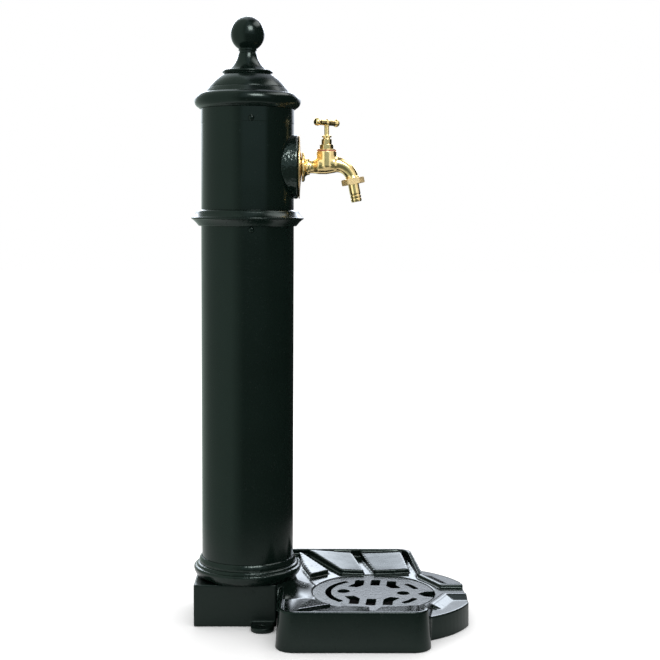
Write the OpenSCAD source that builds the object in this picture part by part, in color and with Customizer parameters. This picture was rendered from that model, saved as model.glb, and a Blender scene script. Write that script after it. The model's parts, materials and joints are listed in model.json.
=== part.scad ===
// Garden standpipe: a cast column with a brass bib tap, standing in a cast drip basin.
// Millimetres, +Z up, +X towards the spout. The origin is on the column axis at floor level.

/* [Column] */
// Outside diameter of the lower tube and of the drum
tube_d = 135.6; // [115:0.2:160]
// Wall of the lower tube and of the drum
tube_wall = 3.5; // [2:0.5:6]
// Length of the lower tube
lower_len = 522; // [300:1:900]
// Length of the upper drum
drum_len = 156; // [140:1:240]

/* [Foot block] */
// Height of the foot block
block_h = 62; // [58:1:90]
// Reach of the block behind the column axis
block_back = 76; // [70:1:100]
// Reach of the block in front of the column axis
block_front = 45; // [44:1:60]
// Width of the block
block_w = 124; // [110:1:160]
// Wall of the block, which is open below
block_wall = 6; // [4:0.5:10]
// Thickness of the block's top plate
block_top = 8; // [6:0.5:14]
// Place of the floor ears in front of the column axis
ear_x = 25; // [0:1:26]
// Width of a floor ear
ear_w = 34; // [26:1:36]
// Distance of the ear's bolt hole from the block's side
ear_reach = 17; // [14:1:30]
// Thickness of a floor ear
ear_t = 7; // [4:0.5:12]
// Diameter of the ear's bolt hole
ear_hole_d = 10; // [6:0.5:14]

/* [Base ring] */
// Height of the base ring's moulding
base_ring_h = 31; // [26:1:50]
// How far the base ring stands out from the tube
base_ring_out = 12.4; // [10:0.1:22]
// Thickness of the base ring's floor, on which the tube stands
base_floor = 8; // [6:0.5:12]
// Length of the spigots inside the tubes
spigot_len = 32; // [24:1:60]
// Wall of the spigots
spigot_wall = 5; // [4:0.5:8]
// Distance of the base bolts from the column axis, in X and in Y
base_bolt_pos = 34; // [28:1:36]
// Thread diameter of the base bolts and of the basin bolts
bolt_d = 8; // [6:1:10]

/* [Middle ring] */
// Height of the middle ring's moulding
mid_ring_h = 23.5; // [20:0.5:40]
// How far the middle ring stands out from the tube
mid_ring_out = 14.7; // [10:0.1:24]
// Rounding of the middle ring's tip
mid_tip_r = 2.5; // [2:0.5:5]
// Thickness of the web between the lower tube and the drum
web_t = 4; // [3:0.5:8]

/* [Cap] */
// Height of the cap's round rim
rim_h = 22.5; // [18:0.5:26]
// How far the rim stands out from the drum
rim_out = 9.7; // [6:0.1:14]
// Height of the dome above the rim
dome_h = 27.5; // [18:0.5:40]
// How far the dome bulges out from a straight cone
dome_bulge = 1.5; // [1:0.1:5]
// Radius of the small ring on top of the dome
neck_ring_r = 36.5; // [30:0.5:44]
// Height of the small ring
neck_ring_h = 5.5; // [5:0.5:12]
// Height of the concave neck
neck_h = 25; // [20:0.5:40]
// Radius of the neck at its top
neck_r = 13.4; // [10:0.1:16]
// Diameter of the ball
ball_d = 50; // [40:0.2:60]
// Height of the groove under the ball
groove_h = 3.5; // [1.5:0.1:4]
// Height of the ball's collar above the groove
ball_collar_h = 3; // [1:0.5:5]
// Diameter of the stud that holds the ball
stud_d = 10; // [8:1:12]
// Length of the stud in the ball and in the neck
stud_half = 20; // [12:1:22]

/* [Set screws] */
// Thread diameter of the set screws
screw_d = 5; // [4:0.5:6]
// Diameter of a screw's head
screw_head_d = 8.5; // [6.5:0.5:12]
// Height of a screw's head
screw_head_h = 3; // [2:0.5:4]
// Gap between the upper screws' heads and the cap
cap_screw_gap = 12.5; // [4:0.5:18]
// Gap between the lower screws' heads and the middle ring
collar_screw_gap = 0.4; // [0.4:0.1:6]
// Direction of the first screw, in degrees from +X
screw_turn = -83; // [-180:1:180]

/* [Tap mounting] */
// Height of the tap's inlet axis above the drum's foot
tap_rise = 73.5; // [65:0.5:100]
// Diameter of the cast boss on the drum
boss_d = 94; // [80:1:104]
// How far the boss stands proud of the drum
boss_proud = 7; // [5:0.5:14]
// Rounding of the boss's edge
boss_round = 4; // [2:0.5:5]
// Dish of the brass rosette plate
plate_dish = 3; // [1:0.5:5]
// Thickness of the rosette plate
plate_t = 1.5; // [1:0.1:3]
// How much smaller the rosette plate is than the boss
plate_margin = 1; // [0:0.5:8]
// Diameter of the wall rose
rose_d = 44; // [36:1:56]
// Thickness of the wall rose's rim
rose_t = 4.5; // [3:0.5:8]
// Length of the wall rose's cone
rose_cone = 7; // [5:0.5:10]
// Diameter of the tap's threaded tail
tail_d = 20.9; // [19:0.1:22]
// Length of the tail inside the supply elbow
tail_grip = 20; // [14:1:26]

/* [Tap body] */
// Diameter of the tap's neck between the rose and the valve chamber
inlet_d = 18.8; // [17:0.1:21]
// Distance from the rosette plate to the valve axis
valve_reach = 36; // [34:0.5:50]
// Outside diameter of the valve chamber
chamber_d = 29.4; // [27:0.1:34]
// Height of the chamber's top above the inlet axis
chamber_top = 22.5; // [22:0.5:28]
// Radius of the swelling where the tubes join the chamber
swell_r = 13.2; // [12:0.1:14.5]
// Outside diameter of the spout tube
spout_d = 18.8; // [18:0.1:22]
// Radius of the spout's bend
bend_r = 24.2; // [20:0.1:30]
// Distance from the valve axis to the bend's centre
bend_x = 14.5; // [13:0.5:30]
// Height of the spout's axis above the inlet axis
spout_rise = 2.4; // [0:0.1:5]
// Tilt of the outlet outwards from the vertical, in degrees
spout_tilt = 10.7; // [0:0.1:25]
// Diameter of the inlet bore
inlet_bore_d = 11; // [8:0.5:12]
// Diameter of the spout's bore
spout_bore_d = 13; // [10:0.5:14]

/* [Valve] */
// Height of the valve seat above the inlet axis
seat_rise = 4; // [3.5:0.1:5]
// Diameter of the hole in the seat
seat_d = 12; // [10:0.5:13]
// Diameter of the valve washer
washer_d = 17; // [15:0.5:18]
// Thickness of the valve washer
washer_t = 3; // [2:0.5:4]
// Thickness of the jumper plate
jumper_t = 2.4; // [2:0.1:3]
// Diameter of the jumper's stem
jumper_d = 5; // [4:0.1:6]
// Diameter of the stud below the jumper plate
jumper_stud_d = 4; // [3:0.1:5]
// Lift of the valve from closed to open
valve_lift = 8; // [4:0.5:9]

/* [Bonnet and handle] */
// Diameter of the bonnet's threaded spigot
bonnet_d = 21; // [20.6:0.1:22]
// Room between the open valve and the spigot
lift_room = 0.5; // [0.3:0.1:1]
// Thickness of the fibre washer
fibre_t = 2; // [1:0.5:4]
// How far the fibre washer stays inside the chamber's edge
fibre_margin = 0.7; // [0:0.1:2]
// Thickness of the bonnet's flange
flange_t = 1.5; // [1:0.5:3]
// Width of the bonnet's hexagon across its corners
bonnet_hex = 20.4; // [19:0.1:26]
// Height of the bonnet's hexagon
bonnet_hex_h = 6.5; // [6:0.5:12]
// Width of the gland nut across its corners
gland_hex = 15.4; // [14.5:0.1:18]
// Height of the gland nut
gland_h = 13.7; // [12:0.1:16]
// Diameter of the bonnet's stem inside the gland nut
gland_stem_d = 11; // [10.5:0.1:12]
// Diameter of the spindle
spindle_d = 7.2; // [6:0.1:8]
// Diameter of the spindle's thread
spindle_thread_d = 11; // [10:0.1:12]
// Clear height of the spindle between the gland nut and the handle
spindle_clear = 12.5; // [10:0.5:20]
// Length of the tee handle
handle_len = 48; // [40:1:70]
// Diameter of the handle's knobs
knob_d = 11.4; // [10:0.1:14]
// Diameter of the handle's waist
waist_d = 8.7; // [8:0.1:10]
// Turn of the handle at rest, in degrees from +X
handle_turn = 45; // [0:1:90]

/* [Outlet] */
// Thread diameter of the outlet
outlet_d = 26.2; // [24:0.1:28]
// How far the outlet's collar laps back over the bend
outlet_lap = 3.2; // [0:0.1:4]
// Length of the outlet's thread
outlet_len = 3.6; // [3:0.1:8]
// Width of the union nut across its corners
nut_hex = 34.8; // [33:0.1:40]
// Height of the union nut
nut_h = 8.7; // [8.5:0.1:14]
// Outside diameter of the hose tail
hose_d = 16; // [14:0.1:17]
// Bore of the hose tail
hose_bore_d = 11.5; // [9:0.1:12]
// Length of the hose tail below the nut
hose_len = 26; // [22:0.5:40]
// Number of the hose tail's barbs
barb_count = 3; // [2:1:4]
// Pitch of the barbs
barb_pitch = 4.8; // [4:0.1:5.5]
// Thickness of the hose washer
hose_washer_t = 1.5; // [1:0.1:2]

/* [Supply] */
// Outside diameter of the riser pipe
riser_d = 21.3; // [19:0.1:24]
// Wall of the riser pipe
riser_wall = 2.6; // [1.5:0.1:3]
// Outside diameter of the elbow and of the inlet socket
fitting_d = 30; // [28:0.5:32]
// Depth of the riser pipe in its fittings
riser_grip = 16; // [12:1:20]
// Thread diameter of the water inlet
inlet_thread_d = 20.9; // [19:0.1:23]
// Depth of the water inlet's thread
inlet_depth = 18; // [14:1:22]

/* [Basin] */
// Height of the basin's rim
basin_h = 56; // [52:1:60]
// Width of the basin at its rim
basin_w = 346; // [320:1:380]
// Depth of the basin at its rim
basin_len = 208; // [205:1:230]
// How far the walls spread out from the rim down to the floor
basin_draft = 5; // [2:0.5:6]
// Radius of the basin's corners at its rim
corner_r = 22; // [16:1:34]
// Thickness of the basin's walls
basin_wall = 6; // [4:0.5:9]
// Thickness of the bed
bed_t = 6; // [4:0.5:8]
// Height of the bed at the grate
bed_z = 34; // [32:0.5:36]
// Rise of the bed for each millimetre away from the grate
bed_slope = 0.12; // [0.08:0.01:0.14]
// Height of the raised pads above the bed at the grate
pad_rise = 6; // [4:0.5:8]
// Extra rise of the pads for each millimetre away from the grate
pad_slope = 0.04; // [0:0.01:0.05]
// Width of the bed left free between the pads and the rim
pad_gap = 2; // [1:0.5:6]
// Radius of the round lip
lip_r = 141; // [138:1:150]
// Distance of the lip's centre in front of the grate's centre
lip_ahead = 7; // [4:0.5:10]
// Reach of the lip, which ends flat, in front of the rim
lip_len = 68.5; // [64:0.5:72]
// How far the lip's wall spreads out down to the floor
lip_draft = 1.5; // [0.5:0.5:4]
// Radius of the fillet where the lip meets the basin
lip_fillet = 14; // [8:1:20]
// Height of the walls that lead to the channel
funnel_h = 5.5; // [4:0.5:9]
// Thickness of those walls
funnel_t = 8; // [4:0.5:9]
// Width of the sloping flanks outside those walls
flank_w = 14; // [8:1:18]
// Inside width of the funnel at the basin
funnel_w = 156; // [150:1:170]
// Inside width of the channel
channel_w = 40; // [30:1:60]
// Length of the channel
channel_len = 35; // [30:1:42]
// Reach of the hollow apron below the base ring
apron_out = 38; // [30:1:44]

/* [Grate] */
// Diameter of the grate
grate_d = 184; // [176:1:188]
// Thickness of the grate
grate_t = 6; // [4:0.5:8]
// Distance of the grate's centre behind the rim's front
grate_back = 69; // [68:0.5:76]
// Turn of the grate in its seat, in degrees
grate_turn = -6.5; // [-180:0.5:180]
// Width of the ledge below the grate
ledge_w = 8; // [5:0.5:12]
// Inner end of the straight slots
slot_in = 36; // [32:1:40]
// Outer end of the straight slots
slot_out = 66; // [58:1:70]
// Width of the slots
slot_w = 13.5; // [10:0.5:15]
// Distance of the bent slots from the grate's centre line
bent_x = 18; // [16:0.5:22]
// Outer end of the bent slots
bent_out = 62; // [56:1:66]
// Height of the bent slots' knee above the centre line
bent_knee = 35; // [30:1:40]
// Height of the bent slots' foot above the centre line
bent_foot = 23; // [20:1:28]
// How far the foot of a bent slot leans out
slot_arm = 9; // [6:0.5:12]
// Radius of the arc slots
arc_r = 68; // [66:0.5:74]
// Width of the arc slots
arc_w = 8; // [5:0.5:10]
// Diameter of the two round holes
eye_d = 18; // [12:0.5:20]
// Distance of the round holes from the grate's centre
eye_r = 45; // [40:0.5:50]
// Depth of the notch in the grate's edge
notch_len = 25; // [15:1:28]
// Width of the notch at the edge
notch_w = 32; // [20:1:36]

/* [Basin bolts] */
// Distance between the basin bolts
basin_bolt_gap = 80; // [60:1:90]
// Height of the basin bolts above the floor
basin_bolt_z = 17; // [14:1:18]

/* [Fits] */
// Clearance of pieces that slide into each other once
seat_fit = 0.1; // [0.05:0.01:0.2]
// Clearance of pieces that turn or slide in use
run_fit = 0.05; // [0.03:0.01:0.08]
// Clearance of the grate in its seat
grate_fit = 0.5; // [0.3:0.1:1]

/* [Hidden] */
$fn = 96;
paint = [0.10, 0.13, 0.12];
brass = [0.83, 0.66, 0.30];
satin_brass = [0.74, 0.62, 0.36];
steel = [0.62, 0.63, 0.64];
fibre = [0.50, 0.20, 0.13];
packing = [0.75, 0.74, 0.70];
rubber = [0.12, 0.12, 0.12];
over = 1;  // how far a cut runs past the face that it leaves

// Column, from the floor up
tube_r = tube_d / 2;
bore_r = tube_r - tube_wall;
spigot_r = bore_r - seat_fit;
spigot_in = spigot_r - spigot_wall;
tube_z = block_h + base_floor;
web_z = tube_z + lower_len;
drum_z = web_z + web_t;
cap_z = drum_z + drum_len;
neck_z = cap_z + rim_h + dome_h;
ball_foot = neck_z + neck_ring_h + neck_h + groove_h;
ball_r = ball_d / 2;
ball_z = ball_foot + ball_collar_h + sqrt(ball_r * ball_r - neck_r * neck_r);

// Heights of the set screws, and of the middle ring's moulding below its web
mid_low = mid_ring_h * 0.4;
collar_screw_z = web_z - mid_low - collar_screw_gap - screw_head_d / 2;
cap_screw_z = cap_z - cap_screw_gap - screw_head_d / 2;

// Heads and nuts of the bolts, in the usual proportions
bolt_hex = bolt_d * 1.85;
bolt_head_h = bolt_d * 0.65;

// Tap mounting, from the drum outwards
tap_z = drum_z + tap_rise;
tail_r = tail_d / 2;
boss_x = tube_r + boss_proud;
plate_x = boss_x + plate_dish;
rose_x = plate_x + plate_t;
neck_x = rose_x + rose_t + rose_cone;
valve_x = boss_x + plate_dish + plate_t + valve_reach;

// Spout, from the bend's centre
bend_cx = valve_x + bend_x;
bend_cz = tap_z + spout_rise - bend_r;
bend_turn = 90 - spout_tilt;

// Valve and bonnet, from the seat up
body_top = tap_z + chamber_top;
seat_z = tap_z + seat_rise;
washer_z = seat_z + run_fit;
plate_z = washer_z + washer_t;
spindle_z = plate_z + jumper_t + run_fit;
bonnet_r = bonnet_d / 2;
flange_z = body_top + fibre_t;
hex_z = flange_z + flange_t;
gland_z = hex_z + bonnet_hex_h;
gland_wall = gland_h * 0.45;
gland_top = gland_z + gland_h;
stem_top = gland_top - gland_wall;
packing_h = 6;
packing_z = stem_top - packing_h;
packing_r = gland_stem_d / 2 - 1;
thread_depth = 0.5;
guide_h = 2;
jumper_nut_h = 3.2;
jumper_grip = 8;
hub_z = gland_top + spindle_clear;
bar_z = hub_z + knob_d / 2;
thread_z = plate_z + jumper_t + valve_lift + lift_room;
thread_r = spindle_thread_d / 2;
spindle_r = spindle_d / 2;
spindle_end_r = spindle_r - 1;

// Outlet, measured down the spout from the foot of its collar's lap
outlet_r = outlet_d / 2;
collar_u = 2.4;
thread_end = collar_u + outlet_len;
washer_u = thread_end + run_fit;
tail_u = washer_u + hose_washer_t;
nut_foot = collar_u + nut_h;
nut_web = 1.7;
tail_flange = nut_foot - nut_web - run_fit - tail_u;
tail_flange_r = outlet_r - 0.5;
hose_r = hose_d / 2;
hose_neck_r = hose_r + 0.3;
barb_depth = 0.9;

// Supply
riser_r = riser_d / 2;
riser_bore = riser_r - riser_wall;
fitting_r = fitting_d / 2;
tail_x = bore_r - fitting_r * fitting_r / bore_r - tail_grip;
elbow_down = fitting_r + riser_grip;
socket_stop = 2;
riser_foot = inlet_depth + socket_stop;
riser_top = tap_z - fitting_r;

// Basin and grate
foot_x = block_front + seat_fit;
rear_x = foot_x + basin_draft;
front_x = rear_x + basin_len;
half_w = basin_w / 2;
grate_x = front_x - grate_back;
grate_r = grate_d / 2;
seat_r = grate_r + grate_fit;
well_r = grate_r - ledge_w;
lip_x = grate_x + lip_ahead;
lip_end = front_x + lip_len;
channel_x = lip_end - channel_len;
kink_x = front_x + basin_draft;
slope_y = half_w - corner_r - over;
base_ring_r = tube_r + base_ring_out;
apron_z = block_h - seat_fit;
pad_in = grate_r + 3;
basin_boss_d = bolt_d * 2.5;
basin_boss_len = basin_draft + basin_wall + 2;
pad_out = half_w - basin_wall - pad_gap;

// Points of a circular arc from p to q that bulges to the left of its chord
function arc(p, q, bulge, steps = 10) =
    let(chord = norm(q - p), side = [p.y - q.y, q.x - p.x] / chord)
    let(r = (chord * chord / 4 + bulge * bulge) / (2 * bulge))
    let(c = (p + q) / 2 + side * (bulge - r))
    let(a = atan2(p.y - c.y, p.x - c.x), b = atan2(q.y - c.y, q.x - c.x))
    let(turn = (b - a + 540) % 360 - 180)
    [for (i = [0 : steps]) c + abs(r) * [cos(a + turn * i / steps), sin(a + turn * i / steps)]];

// A ring of points square to a direction in the XZ plane
function ring(c, dir, r, sides) =
    [for (k = [0 : sides - 1])
        let(t = 360 * k / sides)
        [c.x - sin(dir) * r * cos(t), r * sin(t), c.y + cos(dir) * r * cos(t)]];

module lathe(points) rotate_extrude() polygon(points);

// Turns a shape made along +Z so that it lies along +X at the tap's height
module along_x(x = 0) translate([x, 0, tap_z]) rotate([0, 90, 0]) children();

// Places a shape on the outlet's axis, with -Z running down the spout
module at_outlet()
    translate([bend_cx + bend_r * cos(spout_tilt), 0, bend_cz + bend_r * sin(spout_tilt)])
        rotate([0, -spout_tilt, 0]) translate([0, 0, outlet_lap]) children();

module at_valve(z) translate([valve_x, 0, z]) children();

module tube(r, bore, h) {
    difference() {
        cylinder(r = r, h = h);
        translate([0, 0, -over]) cylinder(r = bore, h = h + 2 * over);
    }
}

module hexagon(corners, h) cylinder(d = corners, h = h, $fn = 6);

// Copies a shape made along +X to the three set screws
module at_screws(z)
    for (i = [0 : 2])
        translate([0, 0, z]) rotate([0, 0, screw_turn + 120 * i]) children();

module screw_holes(z)
    at_screws(z) translate([spigot_in - over, 0, 0]) rotate([0, 90, 0])
        cylinder(d = screw_d + 2 * seat_fit, h = tube_r - spigot_in + 2 * over);

module set_screws(z) {
    head_r = screw_head_d / 2;
    head_edge = screw_head_h * 0.27;
    head_bulge = screw_head_h * 0.3;
    at_screws(z) rotate([0, 90, 0]) {
        translate([0, 0, spigot_in]) cylinder(d = screw_d, h = tube_r - spigot_in);
        translate([0, 0, tube_r])
            lathe(concat([[0, 0], [head_r, 0]], arc([head_r, head_edge], [0, screw_head_h], -head_bulge, 6)));
    }
}

module at_base_bolts()
    for (x = [-1, 1], y = [-1, 1])
        translate([x * base_bolt_pos, y * base_bolt_pos, 0]) children();

// The foot block: a cast box, open below, with two ears for floor bolts
module base_block() {
    block_len = block_back + block_front;
    color(paint) difference() {
        union() {
            translate([-block_back, -block_w / 2, 0]) cube([block_len, block_w, block_h]);
            for (side = [-1, 1]) {
                translate([ear_x - ear_w / 2, side * (block_w / 2 + ear_reach / 2) - ear_reach / 2, 0])
                    cube([ear_w, ear_reach, ear_t]);
                translate([ear_x, side * (block_w / 2 + ear_reach), 0]) cylinder(d = ear_w, h = ear_t);
            }
        }
        translate([block_wall - block_back, block_wall - block_w / 2, -over])
            cube([block_len - 2 * block_wall, block_w - 2 * block_wall, block_h - block_top + over]);
        translate([0, 0, block_h - block_top - over])
            cylinder(r = fitting_r * 1.07, h = block_top + 2 * over);
        at_base_bolts() translate([0, 0, block_h - block_top - over])
            cylinder(d = bolt_d + 2 * seat_fit, h = block_top + 2 * over);
        at_basin_bolts() cylinder(d = bolt_d + 2 * seat_fit, h = 4 * block_wall, center = true);
        for (side = [-1, 1])
            translate([ear_x, side * (block_w / 2 + ear_reach), -over])
                cylinder(d = ear_hole_d, h = ear_t + 2 * over);
    }
}

// The base ring: a socket for the tube, with three beads stepping out to a round skirt
module base_ring() {
    bead = base_ring_out / 3;
    bead_bulge = bead * 0.32;
    skirt_bulge = bead * 0.4;
    skirt_z = base_ring_h * 0.43;
    edge = 1;
    socket_r = tube_r + seat_fit;
    riser_hole = riser_r + 3 * seat_fit;
    foot_r = tube_r + bead;
    corners = [for (i = [0 : 2]) [base_ring_r - i * bead, skirt_z + i * bead]];
    color(paint) translate([0, 0, block_h]) difference() {
        union() {
            lathe(concat(
                [[riser_hole, 0], [foot_r, 0]],
                arc([foot_r, 0], corners[0], -skirt_bulge),
                arc(corners[0], corners[1], -bead_bulge, 6),
                arc(corners[1], corners[2], -bead_bulge, 6),
                arc(corners[2], [socket_r + edge, base_ring_h], -bead_bulge, 6),
                [[socket_r, base_ring_h], [socket_r, base_floor], [riser_hole, base_floor]]));
            translate([0, 0, base_floor - over]) tube(spigot_r, spigot_in, spigot_len / 2 + over);
        }
        at_base_bolts() translate([0, 0, -over])
            cylinder(d = bolt_d + 2 * seat_fit, h = base_floor + 2 * over);
    }
}

// Four hexagon bolts that hold the base ring down on the block
module base_bolts()
    color(steel) at_base_bolts() translate([0, 0, tube_z]) {
        hexagon(bolt_hex, bolt_head_h);
        translate([0, 0, -base_floor - block_top]) cylinder(d = bolt_d, h = base_floor + block_top);
    }

module lower_tube()
    color(paint) difference() {
        translate([0, 0, tube_z]) tube(tube_r, bore_r, lower_len);
        screw_holes(collar_screw_z);
    }

// The middle ring: a pointed moulding with a web and spigots that join the tube and the drum
module mid_ring() {
    socket_r = tube_r + seat_fit;
    low = -mid_low;
    high = mid_ring_h - mid_low;
    tip = mid_ring_h * 0.085;
    tip_r = tube_r + mid_ring_out;
    edge = mid_tip_r * 0.7;
    foot_out = mid_ring_out * 0.3;
    bead_out = mid_ring_out * 0.48;
    bead_h = mid_ring_h * 0.1;
    chamfer = 1;
    hollow = mid_ring_out * 0.03;
    color(paint) difference() {
        translate([0, 0, web_z]) union() {
            lathe(concat(
                [[spigot_in, 0], [socket_r, 0], [socket_r, low], [socket_r + foot_out - chamfer, low]],
                arc([socket_r + foot_out, low + chamfer], [tip_r - edge, tip - edge], hollow, 8),
                arc([tip_r - edge, tip - edge], [tip_r - edge, tip + edge], -edge * 0.9, 8),
                arc([tip_r - edge, tip + edge], [socket_r + bead_out, high - bead_h], hollow, 8),
                arc([socket_r + bead_out, high - bead_h], [socket_r + chamfer, high], -bead_h * 0.4, 8),
                [[socket_r, high], [socket_r, web_t], [spigot_in, web_t]]));
            translate([0, 0, -spigot_len]) tube(spigot_r, spigot_in, spigot_len + over);
            translate([0, 0, web_t - over]) tube(spigot_r, spigot_in, spigot_len / 2 + over);
        }
        screw_holes(collar_screw_z);
    }
}

module collar_screws() color(paint) set_screws(collar_screw_z);

module upper_drum()
    color(paint) difference() {
        translate([0, 0, drum_z]) tube(tube_r, bore_r, drum_len);
        along_x() cylinder(r = tail_r + seat_fit, h = tube_r + over);
        screw_holes(cap_screw_z);
    }

// The cap: round rim, stepped dome, small ring and concave neck, with a spigot inside the drum
module cap() {
    rim_foot = [tube_r + 3.5, 1.6];
    foot_chamfer = 1.6;
    shoulder = [tube_r - 0.8, rim_h];
    rim_bulge = tube_r + rim_out - (rim_foot.x + shoulder.x) / 2;
    step = [tube_r - 8.3, rim_h + 7.5];
    ledge = [-1.4, 0];
    groove = 1;
    ring_z = rim_h + dome_h;
    ring_in = neck_ring_r - 1.4;
    ring_bulge = 1.6;
    neck_in = 7.5;
    neck_wall = 4;
    roof = 12;
    neck_foot = ring_z + neck_ring_h;
    neck_top = neck_foot + neck_h;
    color(paint) difference() {
        union() {
            translate([0, 0, cap_z]) lathe(concat(
                [[spigot_in, 0], rim_foot - [foot_chamfer, foot_chamfer]],
                arc(rim_foot, shoulder, -rim_bulge, 16),
                [step, step + ledge],
                arc(step + ledge + [0, groove], [neck_ring_r, ring_z], -dome_bulge, 12),
                [[ring_in, ring_z + groove]],
                arc([ring_in, ring_z + 1.5 * groove], [ring_in, neck_foot], -ring_bulge, 6),
                arc([neck_ring_r - neck_in, neck_foot + groove], [neck_r, neck_top], neck_h * 0.115, 14),
                [[0, neck_top], [0, neck_top - stud_half - roof]],
                [[neck_r - neck_wall, neck_top - stud_half - roof], [spigot_in - roof / 2, rim_h - roof / 4]],
                [[spigot_in, rim_h - roof / 2]]));
            translate([0, 0, cap_z - spigot_len]) tube(spigot_r, spigot_in, spigot_len + over);
        }
        translate([0, 0, cap_z + neck_top - stud_half]) cylinder(d = stud_d + 2 * seat_fit, h = stud_half + over);
        screw_holes(cap_screw_z);
    }
}

module cap_screws() color(paint) set_screws(cap_screw_z);

// The ball with its collar and short foot, screwed to the neck by a stud
module ball_finial() {
    foot_r = neck_r - 1.3;
    color(paint) difference() {
        union() {
            difference() {
                translate([0, 0, ball_z]) sphere(r = ball_r);
                translate([0, 0, ball_foot - ball_r]) cylinder(r = ball_r, h = ball_r);
            }
            translate([0, 0, ball_foot]) cylinder(r = neck_r, h = ball_collar_h + over);
            translate([0, 0, ball_foot - groove_h]) cylinder(r = foot_r, h = groove_h + over);
        }
        translate([0, 0, ball_foot - groove_h - over]) cylinder(d = stud_d + 2 * seat_fit, h = stud_half + over);
    }
}

module finial_stud()
    color(steel) translate([0, 0, ball_foot - groove_h - stud_half]) cylinder(d = stud_d, h = 2 * stud_half);

// The cast boss that carries the tap, saddled to the drum
module tap_boss() {
    boss_r = boss_d / 2;
    color(paint) difference() {
        along_x() rotate_extrude() {
            square([boss_r - boss_round, boss_x]);
            square([boss_r, boss_x - boss_round]);
            translate([boss_r - boss_round, boss_x - boss_round]) circle(r = boss_round);
        }
        translate([0, 0, drum_z]) cylinder(r = tube_r + run_fit, h = drum_len);
        translate([-boss_x, -boss_r - over, tap_z - boss_r - over])
            cube([boss_x, boss_d + 2 * over, boss_d + 2 * over]);
        along_x() cylinder(r = tail_r + seat_fit, h = boss_x + over);
    }
}

// A thin brass plate, dished, that covers the boss
module rosette_plate() {
    hole_r = tail_r + seat_fit;
    edge_r = (boss_d - plate_margin) / 2;
    color(brass) along_x(boss_x)
        lathe([[hole_r, plate_dish], [edge_r, 0], [edge_r, plate_t], [hole_r, plate_dish + plate_t]]);
}

// The wall rose, a flat disc with a cone that hides the tail's thread
module wall_rose() {
    hole_r = tail_r + seat_fit;
    rose_r = rose_d / 2;
    chamfer = 0.8;
    shoulder_r = rose_r - 5;
    tip_wall = 1.3;
    color(brass) along_x(rose_x)
        lathe(concat([[hole_r, 0], [rose_r - chamfer, 0], [rose_r, chamfer]],
            arc([rose_r, rose_t * 0.5], [shoulder_r, rose_t], -1),
            arc([shoulder_r - 1, rose_t], [hole_r + tip_wall, rose_t + rose_cone], rose_cone * 0.2),
            [[hole_r, rose_t + rose_cone]]));
}

// The tap's body: one casting from the tail through the swelling chamber and round the bend
module tap_body() {
    sides = 28;
    inlet_r = inlet_d / 2;
    spout_r = spout_d / 2;
    swell_in = chamber_d * 0.34;
    swell_out = chamber_d * 0.72;
    swell_lift = 0.7;
    collar_r = spout_r + 1.2;
    seat_floor = tap_z - inlet_r * 0.73;
    feed_d = seat_d * 0.67;
    feed_drop = inlet_r * 0.26;
    feed_x = valve_x - chamber_d / 2 - feed_d / 2;
    spout_port = valve_x + bonnet_r - 2;
    bend_steps = 14;
    run_steps = 22;
    run_x0 = neck_x - over - valve_x;
    // Radius and height of the run's axis at a distance from the valve axis
    function ease(t) = t * t * (3 - 2 * t);
    function swell(x) = ease(max(0, min(1, (swell_out - abs(x)) / (swell_out - swell_in))));
    function side_r(x) = x < 0 ? inlet_r : spout_r;
    function run_r(x) = side_r(x) + (swell_r - side_r(x)) * swell(x);
    function run_z(x) = (x < 0 ? 0 : spout_rise * min(1, x / bend_x)) + (run_r(x) - side_r(x)) * swell_lift;
    run = [for (i = [0 : run_steps])
        let(x = run_x0 + (bend_x - run_x0) * i / run_steps)
        ring([valve_x + x, tap_z + run_z(x)], 0, run_r(x), sides)];
    bend_swell = run_r(bend_x) - spout_r;
    bend = [for (i = [1 : bend_steps])
        let(t = bend_turn * i / bend_steps, left = bend_swell * pow(1 - i / bend_steps, 2))
        let(r = bend_r + swell_lift * left)
        ring([bend_cx + r * sin(t), bend_cz + r * cos(t)], -t, spout_r + left, sides)];
    color(brass) difference() {
        union() {
            loft(concat(run, bend), sides);
            along_x(tail_x) cylinder(r = tail_r, h = neck_x - tail_x);
            at_valve(tap_z) cylinder(d = chamber_d, h = chamber_top);
            at_outlet() {
                translate([0, 0, -collar_u]) cylinder(r = collar_r, h = collar_u);
                translate([0, 0, -thread_end]) cylinder(r = outlet_r, h = outlet_len);
            }
        }
        along_x(tail_x - over) cylinder(d = inlet_bore_d, h = valve_x - chamber_d / 2 - tail_x + over);
        translate([feed_x, 0, tap_z - feed_drop]) rotate([0, 90, 0]) cylinder(d = feed_d, h = valve_x - feed_x);
        at_valve(seat_floor) cylinder(d = seat_d, h = inlet_r + chamber_top);
        at_valve(seat_z) cylinder(r = bonnet_r - thread_depth, h = chamber_top);
        at_valve(thread_z) cylinder(r = bonnet_r + seat_fit, h = chamber_top);
        translate([spout_port, 0, tap_z + spout_rise]) rotate([0, 90, 0])
            cylinder(d = spout_bore_d, h = bend_cx - spout_port);
        translate([bend_cx, 0, bend_cz]) rotate([90, 0, 0])
            rotate_extrude(angle = bend_turn, start = spout_tilt)
                translate([bend_r, 0]) circle(d = spout_bore_d);
        at_outlet() translate([0, 0, -thread_end - over]) cylinder(d = spout_bore_d, h = thread_end + over);
    }
}

// A closed skin through a list of rings of points
module loft(rings, sides) {
    last = len(rings) - 1;
    points = [for (r = rings) each r];
    walls = [for (j = [0 : last - 1], k = [0 : sides - 1])
        let(a = j * sides + k, b = j * sides + (k + 1) % sides)
        each [[a, b, b + sides], [a, b + sides, a + sides]]];
    first_cap = [for (k = [1 : sides - 2]) [0, k + 1, k]];
    end = last * sides;
    last_cap = [for (k = [1 : sides - 2]) [end, end + k, end + k + 1]];
    polyhedron(points, concat(walls, first_cap, last_cap));
}

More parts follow.
